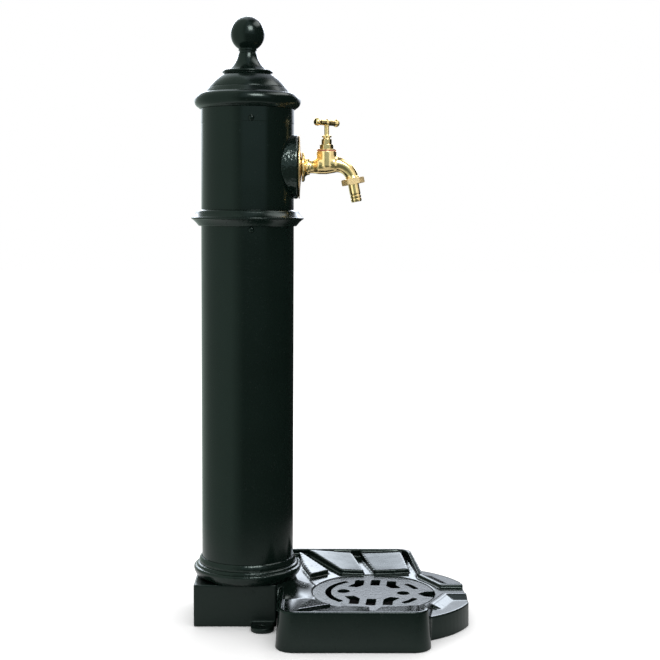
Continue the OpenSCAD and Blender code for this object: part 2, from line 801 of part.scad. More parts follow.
// The bonnet: threaded spigot, flange, hexagon and the stem with its packing box
module bonnet() {
    flange_d = chamber_d - 2;
    color(brass) at_valve(0) difference() {
        union() {
            translate([0, 0, thread_z]) cylinder(r = bonnet_r, h = flange_z - thread_z);
            translate([0, 0, flange_z]) cylinder(d = flange_d, h = flange_t);
            translate([0, 0, hex_z]) hexagon(bonnet_hex, bonnet_hex_h);
            translate([0, 0, gland_z]) cylinder(d = gland_stem_d, h = stem_top - gland_z - run_fit);
        }
        translate([0, 0, thread_z - over]) cylinder(r = thread_r + run_fit, h = gland_z - guide_h - thread_z + over);
        translate([0, 0, thread_z]) cylinder(r = spindle_r + run_fit, h = gland_top - thread_z);
        translate([0, 0, packing_z]) cylinder(r = packing_r, h = gland_h);
    }
}

module bonnet_washer()
    color(fibre) at_valve(body_top) tube(chamber_d / 2 - fibre_margin, bonnet_r + seat_fit, fibre_t);

// The gland nut, a small hexagon with a groove and a collar at its top
module gland_nut() {
    hex_h = gland_h * 0.6;
    groove_top = gland_h * 0.76;
    lip_d = gland_hex * 0.94;
    groove_d = gland_hex * 0.68;
    color(brass) at_valve(gland_z) difference() {
        union() {
            hexagon(gland_hex, hex_h);
            cylinder(d = groove_d, h = gland_h);
            translate([0, 0, groove_top]) cylinder(d = lip_d, h = gland_h - groove_top);
        }
        translate([0, 0, -over]) cylinder(d = gland_stem_d + 2 * run_fit, h = gland_h - gland_wall + over);
        cylinder(r = spindle_r + run_fit, h = gland_h + over);
    }
}

module gland_packing()
    color(packing) at_valve(packing_z) tube(packing_r - run_fit, spindle_r + run_fit, packing_h - 2 * run_fit);

// The spindle: threaded foot that holds the jumper's stem, and a plain stem up to the handle
module spindle() {
    headroom = 1;
    thread_len = gland_z - guide_h - headroom - valve_lift - spindle_z;
    color(brass) at_valve(spindle_z) difference() {
        union() {
            cylinder(r = thread_r, h = thread_len);
            cylinder(r = spindle_r, h = hub_z - spindle_z);
            cylinder(r = spindle_end_r, h = bar_z + waist_d / 2 - spindle_z);
        }
        translate([0, 0, -over]) cylinder(d = jumper_d + 2 * run_fit, h = thread_len);
    }
}

// The tee handle: a turned bar with round knobs and a hub on the spindle's end
module tee_handle() {
    half = handle_len / 2;
    knob_r = knob_d / 2;
    waist_r = waist_d / 2;
    hub_r = spindle_r + 0.4;
    ball_r = waist_r + 0.9;
    end_bulge = knob_r * 0.14;
    waist_hollow = knob_r * 0.09;
    end = [
        [0, -half],
        each arc([knob_r * 0.5, -half], [knob_r, -half + knob_r * 0.7], -end_bulge, 6),
        each arc([knob_r, -half + knob_r], [waist_r, -half + knob_r * 2], waist_hollow, 6)];
    other_end = [for (i = [len(end) - 1 : -1 : 0]) [end[i].x, -end[i].y]];
    color(brass) difference() {
        union() {
            at_valve(bar_z) rotate([0, 90, handle_turn]) lathe(concat(end, other_end));
            at_valve(bar_z) sphere(r = ball_r);
            at_valve(hub_z) cylinder(r = hub_r, h = bar_z - hub_z);
        }
        at_valve(hub_z - over) cylinder(r = spindle_end_r + run_fit, h = knob_d + over);
    }
}

// The jumper: a plate on a stem that hangs in the spindle, with a stud for the washer's nut
module jumper_valve()
    color(brass) at_valve(plate_z) {
        stud = washer_t + jumper_nut_h + over;
        cylinder(d = washer_d, h = jumper_t);
        cylinder(d = jumper_d, h = jumper_t + jumper_grip);
        translate([0, 0, -stud]) cylinder(d = jumper_stud_d, h = stud);
    }

module valve_washer()
    color(rubber) at_valve(washer_z) tube(washer_d / 2, jumper_stud_d / 2 + run_fit, washer_t);

module jumper_nut()
    color(brass) at_valve(washer_z - jumper_nut_h) difference() {
        hexagon(jumper_stud_d * 2, jumper_nut_h);
        translate([0, 0, -over]) cylinder(d = jumper_stud_d + 2 * run_fit, h = jumper_nut_h + 2 * over);
    }

// The union nut that draws the hose tail against the outlet
module union_nut()
    color(satin_brass) at_outlet() translate([0, 0, -nut_foot]) difference() {
        hexagon(nut_hex, nut_h);
        translate([0, 0, nut_web]) cylinder(r = outlet_r + run_fit, h = nut_h);
        translate([0, 0, -over]) cylinder(r = hose_neck_r + run_fit, h = nut_h);
    }

// The hose tail: a flange held by the nut, a neck and barbs at its end, all of one outside diameter
module hose_tail() {
    foot = -nut_foot - hose_len;
    flange_foot = -tail_u - tail_flange;
    barb = [[-barb_depth, 0], [0, barb_pitch * 0.6], [0, barb_pitch]];
    barbs = [for (i = [0 : barb_count - 1], p = barb) [hose_r + p.x, foot + i * barb_pitch + p.y]];
    color(brass) at_outlet() lathe(concat(
        [[hose_bore_d / 2, foot]],
        barbs,
        [[hose_r, -nut_foot - over], [hose_neck_r, -nut_foot - over]],
        [[hose_neck_r, flange_foot], [tail_flange_r, flange_foot], [tail_flange_r, -tail_u]],
        [[hose_bore_d / 2, -tail_u]]));
}

module hose_washer()
    color(rubber) at_outlet() translate([0, 0, -tail_u])
        tube(tail_flange_r, spout_bore_d / 2, hose_washer_t);

// The elbow inside the drum that joins the riser pipe to the tap's tail
module supply_elbow() {
    arm = tail_x + tail_grip;
    color(brass) difference() {
        union() {
            translate([0, 0, tap_z]) sphere(r = fitting_r);
            along_x() cylinder(r = fitting_r, h = arm);
            translate([0, 0, tap_z - elbow_down]) cylinder(r = fitting_r, h = elbow_down);
        }
        along_x() cylinder(r = riser_bore, h = arm);
        along_x(tail_x) cylinder(r = tail_r + seat_fit, h = tail_grip + over);
        translate([0, 0, tap_z - elbow_down]) cylinder(r = riser_bore, h = elbow_down);
        translate([0, 0, tap_z - elbow_down - over])
            cylinder(r = riser_r + seat_fit, h = riser_top - tap_z + elbow_down + over);
    }
}

module riser_pipe()
    color(steel) translate([0, 0, riser_foot]) tube(riser_r, riser_bore, riser_top - riser_foot);

// The threaded socket at floor level where the supply joins
module inlet_socket()
    color(brass) difference() {
        cylinder(r = fitting_r, h = riser_foot + riser_grip);
        translate([0, 0, -over]) cylinder(d = inlet_thread_d, h = inlet_depth + over);
        cylinder(r = riser_bore, h = riser_foot + over);
        translate([0, 0, riser_foot]) cylinder(r = riser_r + seat_fit, h = riser_grip + over);
    }

// How far the basin's wall has spread out at a height
function spread(z) = basin_draft * (basin_h - z) / basin_h;

// A box with round corners whose sides spread out towards the floor, set in from the rim by a margin
module drafted_box(margin, z0, z1) {
    x0 = rear_x + margin;
    x1 = front_x - margin;
    w = half_w - margin;
    r = max(corner_r - margin, 2);
    a = spread(z0);
    b = spread(z1);
    translate([x0 + r, 0, 0]) rotate([90, 0, 90]) linear_extrude(x1 - x0 - 2 * r)
        polygon([[-w - a, z0], [w + a, z0], [w + b, z1], [-w - b, z1]]);
    rotate([90, 0, 0]) linear_extrude(2 * (w - r), center = true)
        polygon([[x0 - a, z0], [x1 + a, z0], [x1 + b, z1], [x0 - b, z1]]);
    for (x = [x0 + r, x1 - r], y = [r - w, w - r])
        translate([x, y, z0]) cylinder(h = z1 - z0, r1 = r + a, r2 = r + b);
}

// Everything above a cone round the grate that rises outwards from a height
module above_bed(z, slope) {
    far = 2 * half_w;
    translate([grate_x, 0, 0])
        lathe([[0, z], [grate_r, z], [far, z + slope * (far - grate_r)], [far, 2 * far], [0, 2 * far]]);
}

// Fillets in the two corners between the lip and the basin's front wall
module lip_roots() {
    c = [kink_x + lip_fillet, sqrt(pow(lip_r + lip_fillet, 2) - pow(kink_x + lip_fillet - lip_x, 2))];
    t = c + ([lip_x, 0] - c) * lip_fillet / norm([lip_x, 0] - c);
    for (side = [0, 1]) mirror([0, side]) difference() {
        polygon([[kink_x - 4, c.y], c, t, [kink_x - 4, t.y - 8]]);
        translate(c) circle(r = lip_fillet);
    }
}

// Corners of the wall that narrows from the basin to the channel, moved outwards by a thickness
function left_of(p, q) = [p.y - q.y, q.x - p.x] / norm(q - p);
function mitre(p, q, r, t) =
    let(a = left_of(p, q), b = left_of(q, r))
    q + t * (a + b) / (1 + a * b);
function funnel_wall(t) =
    let(a = [front_x - basin_wall, slope_y], k = [kink_x, funnel_w / 2])
    let(c = [channel_x, channel_w / 2], e = [lip_end + over, channel_w / 2])
    [a + [basin_wall * t / funnel_t, 0], mitre(a, k, c, t), mitre(k, c, e, t), e + [0, t]];

function reversed(points) = [for (i = [len(points) - 1 : -1 : 0]) points[i]];

// The plan of the bed between those walls
module funnel_plan() {
    side = funnel_wall(0);
    polygon(concat([[grate_x, -slope_y]], [for (p = side) [p.x, -p.y]], reversed(side), [[grate_x, slope_y]]));
}

// A sloping flank on the lip along the outside of a wall from p to q
module flank(p, q)
    translate([p.x, p.y, bed_z]) rotate([0, 0, atan2(q.y - p.y, q.x - p.x)]) rotate([90, 0, 90])
        linear_extrude(norm(q - p))
            polygon([[-over, -over], [flank_w, -over], [flank_w, 0], [0, funnel_h * 0.85], [-over, funnel_h * 0.85]]);

// Everything above the tops of the front walls, which slope down from the rim to the channel
module above_front(wall_z)
    translate([front_x - basin_wall - over, 0, 0]) rotate([90, 0, 90]) linear_extrude(lip_r)
        polygon([[-slope_y, basin_h], [-funnel_w / 2, wall_z], [funnel_w / 2, wall_z],
            [slope_y, basin_h], [slope_y, 2 * basin_h], [-slope_y, 2 * basin_h]]);

// Plans of the three raised pads on one side, as offsets from the grate's centre
module pad_plans()
    translate([grate_x, 0]) {
        polygon([[-94, 65], [-66, 90], [-114, pad_out - 5], [-106, 105]]);
        polygon([[-96, pad_out], [-28, pad_out], [-10, pad_in], [-47, pad_in]]);
        polygon([[-13, pad_out], [53, pad_out], [61, pad_in], [6, pad_in]]);
    }

module at_basin_bolts()
    for (side = [-1, 1])
        translate([block_front, side * basin_bolt_gap / 2, basin_bolt_z]) rotate([0, 90, 0]) children();

// The basin: drafted walls, dished bed with raised pads, a round lip with a channel, open below the grate
module basin() {
    wall_z = bed_z + funnel_h;
    well_wall = 5;
    pad_z = bed_z + pad_rise;
    outside = funnel_wall(funnel_t);
    lip_in = min(lip_r - lip_ahead, lip_end - grate_x) - basin_wall;
    color(paint) difference() {
        union() {
            difference() {
                drafted_box(0, 0, basin_h);
                intersection() {
                    drafted_box(basin_wall, bed_z - over, basin_h + over);
                    above_bed(bed_z, bed_slope);
                }
                intersection() {
                    linear_extrude(2 * basin_h) funnel_plan();
                    above_bed(bed_z, bed_slope);
                }
                above_front(wall_z);
            }
            intersection() {
                union() {
                    translate([lip_x, 0, 0]) cylinder(h = bed_z, r1 = lip_r + lip_draft, r2 = lip_r);
                    linear_extrude(bed_z) lip_roots();
                }
                translate([front_x - basin_wall, -half_w, 0]) cube([lip_len + basin_wall, basin_w, bed_z]);
            }
            difference() {
                intersection() {
                    for (side = [0, 1]) mirror([0, side, 0]) {
                        linear_extrude(basin_h) polygon(concat(outside, reversed(funnel_wall(0))));
                        for (i = [1, 2]) flank(outside[i], outside[i + 1]);
                    }
                    union() {
                        translate([lip_x, 0, bed_z - over]) cylinder(h = basin_h, r = lip_r);
                        translate([grate_x, -half_w, over]) cube([kink_x + 2 * funnel_t - grate_x, basin_w, basin_h]);
                    }
                    translate([grate_x, -half_w, over]) cube([lip_end - grate_x, basin_w, basin_h]);
                }
                above_front(wall_z);
            }
            intersection() {
                for (side = [0, 1]) mirror([0, side, 0]) linear_extrude(basin_h - over) pad_plans();
                difference() {
                    drafted_box(basin_wall - over, bed_z - bed_t / 2, basin_h);
                    above_bed(pad_z, bed_slope + pad_slope);
                }
            }
            intersection() {
                lathe(concat([[0, bed_z - over], [tube_r + apron_out, bed_z - over]],
                    arc([tube_r + apron_out, bed_z + 2], [tube_r + base_ring_out / 3, apron_z], apron_out * 0.24, 12),
                    [[0, apron_z]]));
                translate([foot_x, -half_w, 0]) cube([basin_len, basin_w, block_h]);
            }
            at_basin_bolts() translate([0, 0, seat_fit]) cylinder(d = basin_boss_d, h = basin_boss_len);
        }
        translate([grate_x, 0, bed_z - grate_t]) cylinder(r = seat_r, h = basin_h);
        translate([grate_x, 0, -over]) cylinder(r = well_r, h = basin_h);
        difference() {
            intersection() {
                union() {
                    drafted_box(basin_wall, -over, bed_z - bed_t);
                    translate([grate_x, 0, -over]) cylinder(h = bed_z - bed_t + over, r = lip_in);
                }
                difference() {
                    translate([rear_x, -basin_w, -over]) cube([2 * basin_len, 2 * basin_w, basin_h]);
                    above_bed(bed_z - bed_t - grate_t, bed_slope);
                }
            }
            translate([grate_x, 0, -over]) cylinder(r = well_r + well_wall, h = basin_h);
            at_basin_bolts() cylinder(d = basin_boss_d, h = basin_boss_len);
        }
        at_basin_bolts() cylinder(d = bolt_d + 2 * seat_fit, h = 3 * basin_boss_len, center = true);
    }
}

// Two hexagon bolts with nuts that hold the basin to the block
module basin_bolts() {
    grip = block_wall + seat_fit + basin_boss_len;
    color(steel) at_basin_bolts() translate([0, 0, -block_wall]) {
        translate([0, 0, -bolt_head_h]) hexagon(bolt_hex, bolt_head_h);
        cylinder(d = bolt_d, h = grip + bolt_d);
        translate([0, 0, grip]) difference() {
            hexagon(bolt_hex, bolt_head_h);
            translate([0, 0, -over]) cylinder(d = bolt_d + 2 * run_fit, h = bolt_head_h + 2 * over);
        }
    }
}

// A sector of a ring between two angles, for the arc slots
module arc_slot(r, w, a0, a1)
    intersection() {
        difference() {
            circle(r = r + w / 2);
            circle(r = r - w / 2);
        }
        polygon(concat([[0, 0]], [for (i = [0 : 8]) let(a = a0 + (a1 - a0) * i / 8) 2 * r * [cos(a), sin(a)]]));
    }

// Slots of one quarter of the grate: half of a straight slot, a bent slot and a short arc
module grate_slots() {
    bent_in = bent_x + slot_w;
    lean = slot_arm * (bent_knee - bent_foot) / slot_w;
    translate([-over, slot_in]) square([slot_w / 2 + over, slot_out - slot_in]);
    polygon([[bent_x, bent_out], [bent_in, bent_out], [bent_in, bent_knee + lean],
        [bent_in + slot_arm, bent_foot + slot_arm / 3], [bent_x + slot_arm, bent_foot], [bent_x, bent_knee]]);
    arc_slot(arc_r, arc_w, 21, 46);
}

// The grate: a flat cast disc with its pattern of slots and a notch towards the channel
module grate() {
    notch_in = grate_r - notch_len;
    notch_knee = notch_in + notch_len * 0.45;
    color(paint) translate([grate_x, 0, bed_z - grate_t]) rotate([0, 0, grate_turn])
        linear_extrude(grate_t) difference() {
            circle(r = grate_r);
            for (a = [0, 1], b = [0, 1]) mirror([a, 0]) mirror([0, b]) difference() {
                grate_slots();
                if (a == 1) arc_slot(arc_r, 2 * arc_w, 0, 50);
            }
            for (side = [-1, 1]) translate([side * eye_r, 0]) circle(d = eye_d);
            arc_slot(arc_r, arc_w, 130, 230);
            polygon([[notch_in, 0], [notch_knee, notch_w * 0.38], [grate_r + over, notch_w / 2],
                [grate_r + over, -notch_w / 2], [notch_knee, -notch_w * 0.38]]);
        }
}

base_block();
base_ring();
base_bolts();
lower_tube();
mid_ring();
collar_screws();
upper_drum();
cap();
cap_screws();
ball_finial();
finial_stud();
tap_boss();
rosette_plate();
wall_rose();
tap_body();
bonnet();
bonnet_washer();
gland_nut();
gland_packing();
spindle();
tee_handle();
jumper_valve();
valve_washer();
jumper_nut();
union_nut();
hose_tail();
hose_washer();
supply_elbow();
riser_pipe();
inlet_socket();
basin();
basin_bolts();
grate();
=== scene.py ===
import json
import math
import bmesh
import bpy
import numpy as np
from mathutils import Matrix, Vector, noise
from mathutils.bvhtree import BVHTree


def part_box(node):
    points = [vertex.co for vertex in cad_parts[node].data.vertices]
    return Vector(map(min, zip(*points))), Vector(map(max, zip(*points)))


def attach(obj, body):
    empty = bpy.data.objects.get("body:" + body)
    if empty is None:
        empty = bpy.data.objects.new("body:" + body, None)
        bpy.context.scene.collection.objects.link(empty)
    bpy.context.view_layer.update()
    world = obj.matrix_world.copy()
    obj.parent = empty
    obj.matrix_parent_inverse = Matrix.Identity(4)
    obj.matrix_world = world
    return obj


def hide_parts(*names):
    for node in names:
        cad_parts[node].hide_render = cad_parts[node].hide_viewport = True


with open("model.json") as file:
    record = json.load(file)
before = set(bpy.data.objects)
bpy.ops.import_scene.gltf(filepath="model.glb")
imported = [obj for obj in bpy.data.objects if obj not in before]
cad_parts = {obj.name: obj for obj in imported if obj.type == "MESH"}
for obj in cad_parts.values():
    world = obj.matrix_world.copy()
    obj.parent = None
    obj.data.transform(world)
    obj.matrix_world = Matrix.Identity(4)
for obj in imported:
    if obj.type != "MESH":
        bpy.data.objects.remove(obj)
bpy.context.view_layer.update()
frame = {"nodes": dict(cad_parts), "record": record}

# The studio: a white floor under white light from all round, as for a catalogue picture. Only
# reflections meet the room about it: a grey wall on the left, dark cloth on the right, a dim window in
# front, a bright screen behind and a panel above. They give the gloss paint its light and dark sides.
mm = 0.001
scene = bpy.context.scene
scene.view_settings.view_transform = "Standard"


def feed(tree, node, inputs):
    """Sets or links inputs of a node, given by their names or numbers."""
    for socket, value in inputs.items():
        if isinstance(value, bpy.types.NodeSocket):
            tree.links.new(value, node.inputs[socket])
        else:
            node.inputs[socket].default_value = value


def place(tree, kind, inputs=None, **settings):
    """Adds a node to a tree, with its settings and inputs."""
    made = tree.nodes.new(kind)
    for name, value in settings.items():
        setattr(made, name, value)
    feed(tree, made, inputs or {})
    return made


def calc(tree, operation, a, b=0.0, c=0.0):
    """A sum, product or other operation on up to three numbers or sockets."""
    return place(tree, "ShaderNodeMath", {0: a, 1: b, 2: c}, operation=operation).outputs[0]


def ramp(tree, value, low, high, to_low=0.0, to_high=1.0):
    """A value spread from one range to another, and held at its ends."""
    inputs = {"Value": value, "From Min": low, "From Max": high, "To Min": to_low, "To Max": to_high}
    return place(tree, "ShaderNodeMapRange", inputs).outputs[0]


def between(tree, value, low, high, soft):
    """One between two values, and falling to zero over a soft edge outside them."""
    return calc(tree, "MULTIPLY", ramp(tree, value, low - soft, low), ramp(tree, value, high + soft, high))


def scaled(tree, colour, amount):
    """A colour times an amount that changes over the surface."""
    return place(tree, "ShaderNodeVectorMath", {0: colour, "Scale": amount}, operation="SCALE").outputs[0]


def own_place(tree):
    """The place of a point on a surface, in its piece's own coordinates."""
    return place(tree, "ShaderNodeTexCoord").outputs["Object"]


room_light = 0.95
scene.world = bpy.data.worlds.new("studio")
scene.world.use_nodes = True
air = scene.world.node_tree
air.nodes.clear()
air_path = place(air, "ShaderNodeLightPath").outputs
air_mirrored = calc(air, "MAXIMUM", air_path["Is Glossy Ray"], air_path["Is Transmission Ray"])
air_seen = calc(air, "MAXIMUM", air_path["Is Camera Ray"], air_mirrored)
air_light = place(air, "ShaderNodeBackground", {
    "Color": (1, 1, 1, 1), "Strength": ramp(air, air_seen, 0, 1, room_light, 1.0)})
place(air, "ShaderNodeOutputWorld", {"Surface": air_light.outputs[0]})

room_r = 4.0
room_h = 3.4
wall_tint = Vector((0.92, 1.11, 1.0))
# Bearings in degrees, and how light the wall is there
wall_levels = (
    (-110, 0.02), (-75, 0.06), (-25, 0.13), (8, 0.15), (38, 0.62), (60, 0.62), (105, 0.50), (178, 0.6))
screen_side = math.radians(140)
screen_soft = 0.2
screen_tint = (0.92, 0.98, 1.10)
screen_foot, screen_mid, screen_top, screen_end = 0.6, 1.35, 2.1, 2.8
screen_low, screen_high, screen_rest = 2.2, 7.2, 0.08
window_low, window_high = 0.5, 0.85
window_sides = (math.radians(-45), math.radians(8))
window_soft = 0.15
window_light = (0.32, 0.40, 0.43)
panel_x, panel_y = (1.7, 3.0), (-0.6, 2.0)
panel_z = (0.97 * room_h, 0.99 * room_h)
panel_soft = 0.4
panel_light = 3.2


def mirrored_room(tree):
    """The room's light at a place, by its bearing from straight in front, with the left as positive."""
    x, y, z = place(tree, "ShaderNodeSeparateXYZ", {0: own_place(tree)}).outputs
    bearing = calc(tree, "ARCTAN2", calc(tree, "MULTIPLY", x, -1), calc(tree, "MULTIPLY", y, -1))
    shade = place(tree, "ShaderNodeValToRGB", {0: ramp(tree, bearing, -math.pi, math.pi)})
    stops = shade.color_ramp.elements
    stops.remove(stops[1])
    for number, (degrees, grey) in enumerate(wall_levels):
        along = degrees / 360 + 0.5
        stop = stops.new(along) if number else stops[0]
        stop.position = along
        stop.color = (*(wall_tint * grey), 1)
    behind = ramp(tree, calc(tree, "ABSOLUTE", bearing), screen_side, screen_side + screen_soft)
    rising = calc(tree, "ADD", ramp(tree, z, screen_foot, screen_mid, 0, screen_low),
                  ramp(tree, z, screen_mid, screen_top, 0, screen_high))
    fading = ramp(tree, z, screen_top, screen_end, 1.0, screen_rest)
    glare = calc(tree, "MULTIPLY", calc(tree, "MULTIPLY", rising, fading), behind)
    opening = calc(tree, "MULTIPLY", between(tree, bearing, *window_sides, window_soft),
                   ramp(tree, z, window_low, window_high))
    above = calc(tree, "MULTIPLY", between(tree, x, *panel_x, panel_soft),
                 between(tree, y, *panel_y, panel_soft))
    panel = calc(tree, "MULTIPLY", above, ramp(tree, z, *panel_z, 0, panel_light))
    light = shade.outputs[0]
    for lamp in (scaled(tree, screen_tint, glare), scaled(tree, window_light, opening), panel):
        light = place(tree, "ShaderNodeVectorMath", {0: light, 1: lamp}, operation="ADD").outputs[0]
    return light


def studio_finish(name):
    """A material for the studio, with an empty tree."""
    finish = bpy.data.materials.new(name)
    finish.use_nodes = True
    finish.node_tree.nodes.clear()
    return finish, finish.node_tree


def plain_mesh(shape, name):
    """The mesh of what was shaped."""
    mesh = bpy.data.meshes.new(name)
    shape.to_mesh(mesh)
    shape.free()
    return mesh


def shown(name, mesh, finish):
    """Puts a mesh in the scene with its finish alone."""
    mesh.materials.clear()
    mesh.materials.append(finish)
    made = bpy.data.objects.new(name, mesh)
    scene.collection.objects.link(made)
    return made


room_finish, room_tree = studio_finish("studio_room")
room_shine = place(room_tree, "ShaderNodeEmission", {"Color": mirrored_room(room_tree)})
place(room_tree, "ShaderNodeOutputMaterial", {"Surface": room_shine.outputs[0]})
room_shape = bmesh.new()
bmesh.ops.create_cone(room_shape, cap_ends=True, segments=96, radius1=room_r, radius2=room_r, depth=room_h)
bmesh.ops.translate(room_shape, verts=room_shape.verts, vec=(0, 0, room_h / 2))
floor_end = [face for face in room_shape.faces if face.calc_center_median().z < 0.01 * room_h]
bmesh.ops.delete(room_shape, geom=floor_end, context="FACES_ONLY")
studio_room = shown("studio_room", plain_mesh(room_shape, "studio_room"), room_finish)
for ray in ("camera", "diffuse", "transmission", "shadow", "volume_scatter"):
    setattr(studio_room, "visible_" + ray, False)

floor_half = 12.0
floor_drop = 0.3 * mm
floor_white, seen_white = 0.92, 1.12
floor_glow = 0.1
near_end, far_start = 0.27, 0.68
floor_finish, floor_tree = studio_finish("studio_floor")
floor_path = place(floor_tree, "ShaderNodeLightPath").outputs
floor_way = place(floor_tree, "ShaderNodeVectorMath", {0: own_place(floor_tree)}, operation="LENGTH")
floor_tone = ramp(floor_tree, floor_path["Is Camera Ray"], 0, 1, floor_white, seen_white)
floor_matt = place(floor_tree, "ShaderNodeBsdfDiffuse", {"Color": floor_tone})
floor_level = calc(floor_tree, "MULTIPLY", floor_path["Is Camera Ray"], floor_glow)
floor_shine = place(floor_tree, "ShaderNodeEmission", {"Strength": floor_level})
floor_seen = place(floor_tree, "ShaderNodeAddShader", {0: floor_matt.outputs[0], 1: floor_shine.outputs[0]})
floor_far = place(floor_tree, "ShaderNodeEmission", {"Color": mirrored_room(floor_tree)})
floor_distance = ramp(floor_tree, floor_way.outputs["Value"], near_end, far_start)
floor_mix = place(floor_tree, "ShaderNodeMixShader", {
    0: calc(floor_tree, "MULTIPLY", floor_path["Is Glossy Ray"], floor_distance),
    1: floor_seen.outputs[0], 2: floor_far.outputs[0]})
place(floor_tree, "ShaderNodeOutputMaterial", {"Surface": floor_mix.outputs[0]})
floor_mesh = bpy.data.meshes.new("studio_floor")
floor_signs = ((-1, -1), (1, -1), (1, 1), (-1, 1))
floor_corners = [(x * floor_half, y * floor_half, -floor_drop) for x, y in floor_signs]
floor_mesh.from_pydata(floor_corners, [], [(0, 1, 2, 3)])
studio_floor = shown("studio_floor", floor_mesh, floor_finish)


def soft_box(name, at, aim, width, height, radiance, hidden_from, only_on=None):
    """A flat lamp of even radiance, hidden from one kind of ray. It may light one collection alone."""
    light = bpy.data.lights.new(name, "AREA")
    light.shape = "RECTANGLE"
    light.size = width
    light.size_y = height
    light.energy = radiance * math.pi * width * height
    lamp = bpy.data.objects.new(name, light)
    lamp.location = at
    lamp.rotation_euler = (Vector(aim) - Vector(at)).to_track_quat("-Z", "Y").to_euler()
    lamp.visible_camera = False
    setattr(lamp, "visible_" + hidden_from, False)
    if only_on:
        lamp.light_linking.receiver_collection = only_on
    scene.collection.objects.link(lamp)


soft_box("back_lamp", at=(0.3, 1.9, 2.2), aim=(0.15, 0.0, 0.1),
         width=1.8, height=1.2, radiance=2.0, hidden_from="glossy")
soft_box("key_lamp", at=(0.50, -1.17, 1.66), aim=(0.0, 0.0, 0.8),
         width=0.65, height=0.65, radiance=14.0, hidden_from="diffuse")
brass_pieces = bpy.data.collections.new("brass_pieces")
tap_spot = (0.12, 0.0, 0.68)
for card, card_at in (("left_card", (-0.50, -0.42, 0.85)), ("right_card", (0.80, -0.42, 0.80))):
    soft_box(card, at=card_at, aim=tap_spot,
             width=0.9, height=1.0, radiance=0.8, hidden_from="diffuse", only_on=brass_pieces)

image_width = 660
focal_px = 1300.9
sensor_mm = 36.0
camera_at = Vector((91.55, -1917.5, 597.6)) * mm
yaw = math.radians(0.902)
pitch = math.radians(4.997)
roll = math.radians(0.308)
look = Vector((math.sin(yaw) * math.cos(pitch), math.cos(yaw) * math.cos(pitch), -math.sin(pitch)))
level = Vector((math.cos(yaw), -math.sin(yaw), 0))
upward = level.cross(look)
tilted_level = math.cos(roll) * level + math.sin(roll) * upward
tilted_up = math.cos(roll) * upward - math.sin(roll) * level
camera_turn = Matrix((tilted_level, tilted_up, -look)).transposed().to_4x4()
camera = bpy.data.objects.new("camera", bpy.data.cameras.new("camera"))
camera.data.sensor_width = sensor_mm
camera.data.lens = focal_px / image_width * sensor_mm
camera.matrix_world = Matrix.Translation(camera_at) @ camera_turn
scene.collection.objects.link(camera)
scene.camera = camera

# The foot block: a square box of cast iron, open below, with two ears for the floor bolts. It comes
# from the sand with soft edges and a slightly uneven skin, and is painted dark green.


def new_group(name, inputs, outputs):
    """A shader group with a place on the surface and named numbers as inputs, and numbers as outputs."""
    group = bpy.data.node_groups.new(name, "ShaderNodeTree")
    group.interface.new_socket("Place", in_out="INPUT", socket_type="NodeSocketVector")
    for socket, value in inputs.items():
        number = group.interface.new_socket(socket, in_out="INPUT", socket_type="NodeSocketFloat")
        number.default_value = value
    for socket in outputs:
        group.interface.new_socket(socket, in_out="OUTPUT", socket_type="NodeSocketFloat")
    return group, place(group, "NodeGroupInput").outputs


def speckle(tree, where, scale, detail=2.0, rough=0.5):
    """Noise from zero to one, with its number of lumps along a metre."""
    inputs = {"Vector": where, "Scale": scale, "Detail": detail, "Roughness": rough}
    return place(tree, "ShaderNodeTexNoise", inputs).outputs["Fac"]


# Shared by all painted pieces: the skin of the paint itself
paint_film, film_in = new_group(
    "paint_film", {"Peel": 0.012, "Waves": 0.25}, ("Height", "Mottle", "Specks"))
film_at = film_in["Place"]
peel_height = calc(paint_film, "MULTIPLY", speckle(paint_film, film_at, 420), film_in["Peel"])
wave_height = calc(paint_film, "MULTIPLY", speckle(paint_film, film_at, 22, 1.0), film_in["Waves"])
film_dots = ramp(paint_film, speckle(paint_film, film_at, 750, 0.0), 0.78, 0.84)
film_patches = ramp(paint_film, speckle(paint_film, film_at, 14, 2.0), 0.48, 0.7)
place(paint_film, "NodeGroupOutput", {
    "Height": calc(paint_film, "ADD", peel_height, wave_height),
    "Mottle": speckle(paint_film, film_at, 11, 5.0, 0.6),
    "Specks": calc(paint_film, "MULTIPLY", film_dots, film_patches)})

# Shared by the castings: the grains of the sand mould, with pits between them
cast_skin, cast_in = new_group("cast_skin", {"Grain": 0.1, "Lumps": 260.0}, ("Height", "Pits"))
cast_lumps = speckle(cast_skin, cast_in["Place"], cast_in["Lumps"], 5.0, 0.62)
cast_cells = place(cast_skin, "ShaderNodeTexVoronoi", {
    "Vector": cast_in["Place"], "Scale": cast_in["Lumps"]})
cast_mix = calc(cast_skin, "MULTIPLY_ADD", cast_cells.outputs["Distance"], -0.6, cast_lumps)
place(cast_skin, "NodeGroupOutput", {
    "Height": calc(cast_skin, "MULTIPLY", cast_mix, cast_in["Grain"]),
    "Pits": ramp(cast_skin, cast_mix, 0.05, -0.25)})

deep_green = (0.0026, 0.0066, 0.0048, 1)
worn_green = (0.0036, 0.0090, 0.0068, 1)
dust_grey = (0.022, 0.029, 0.027, 1)
paint_shine = (0.84, 1.0, 0.94, 1)


def new_finish(name):
    """A material for a piece, with its tree and its shader."""
    finish = bpy.data.materials.new(name)
    finish.use_nodes = True
    return finish, finish.node_tree, finish.node_tree.nodes["Principled BSDF"]


def blend(tree, share, first, second):
    """A colour between two others."""
    return place(tree, "ShaderNodeMix", {0: share, 6: first, 7: second}, data_type="RGBA").outputs[2]


def raised(tree, height, unit=mm):
    """The slope of a skin with this height, in millimetres or another unit."""
    return place(tree, "ShaderNodeBump", {"Strength": 1.0, "Distance": unit, "Height": height}).outputs[0]


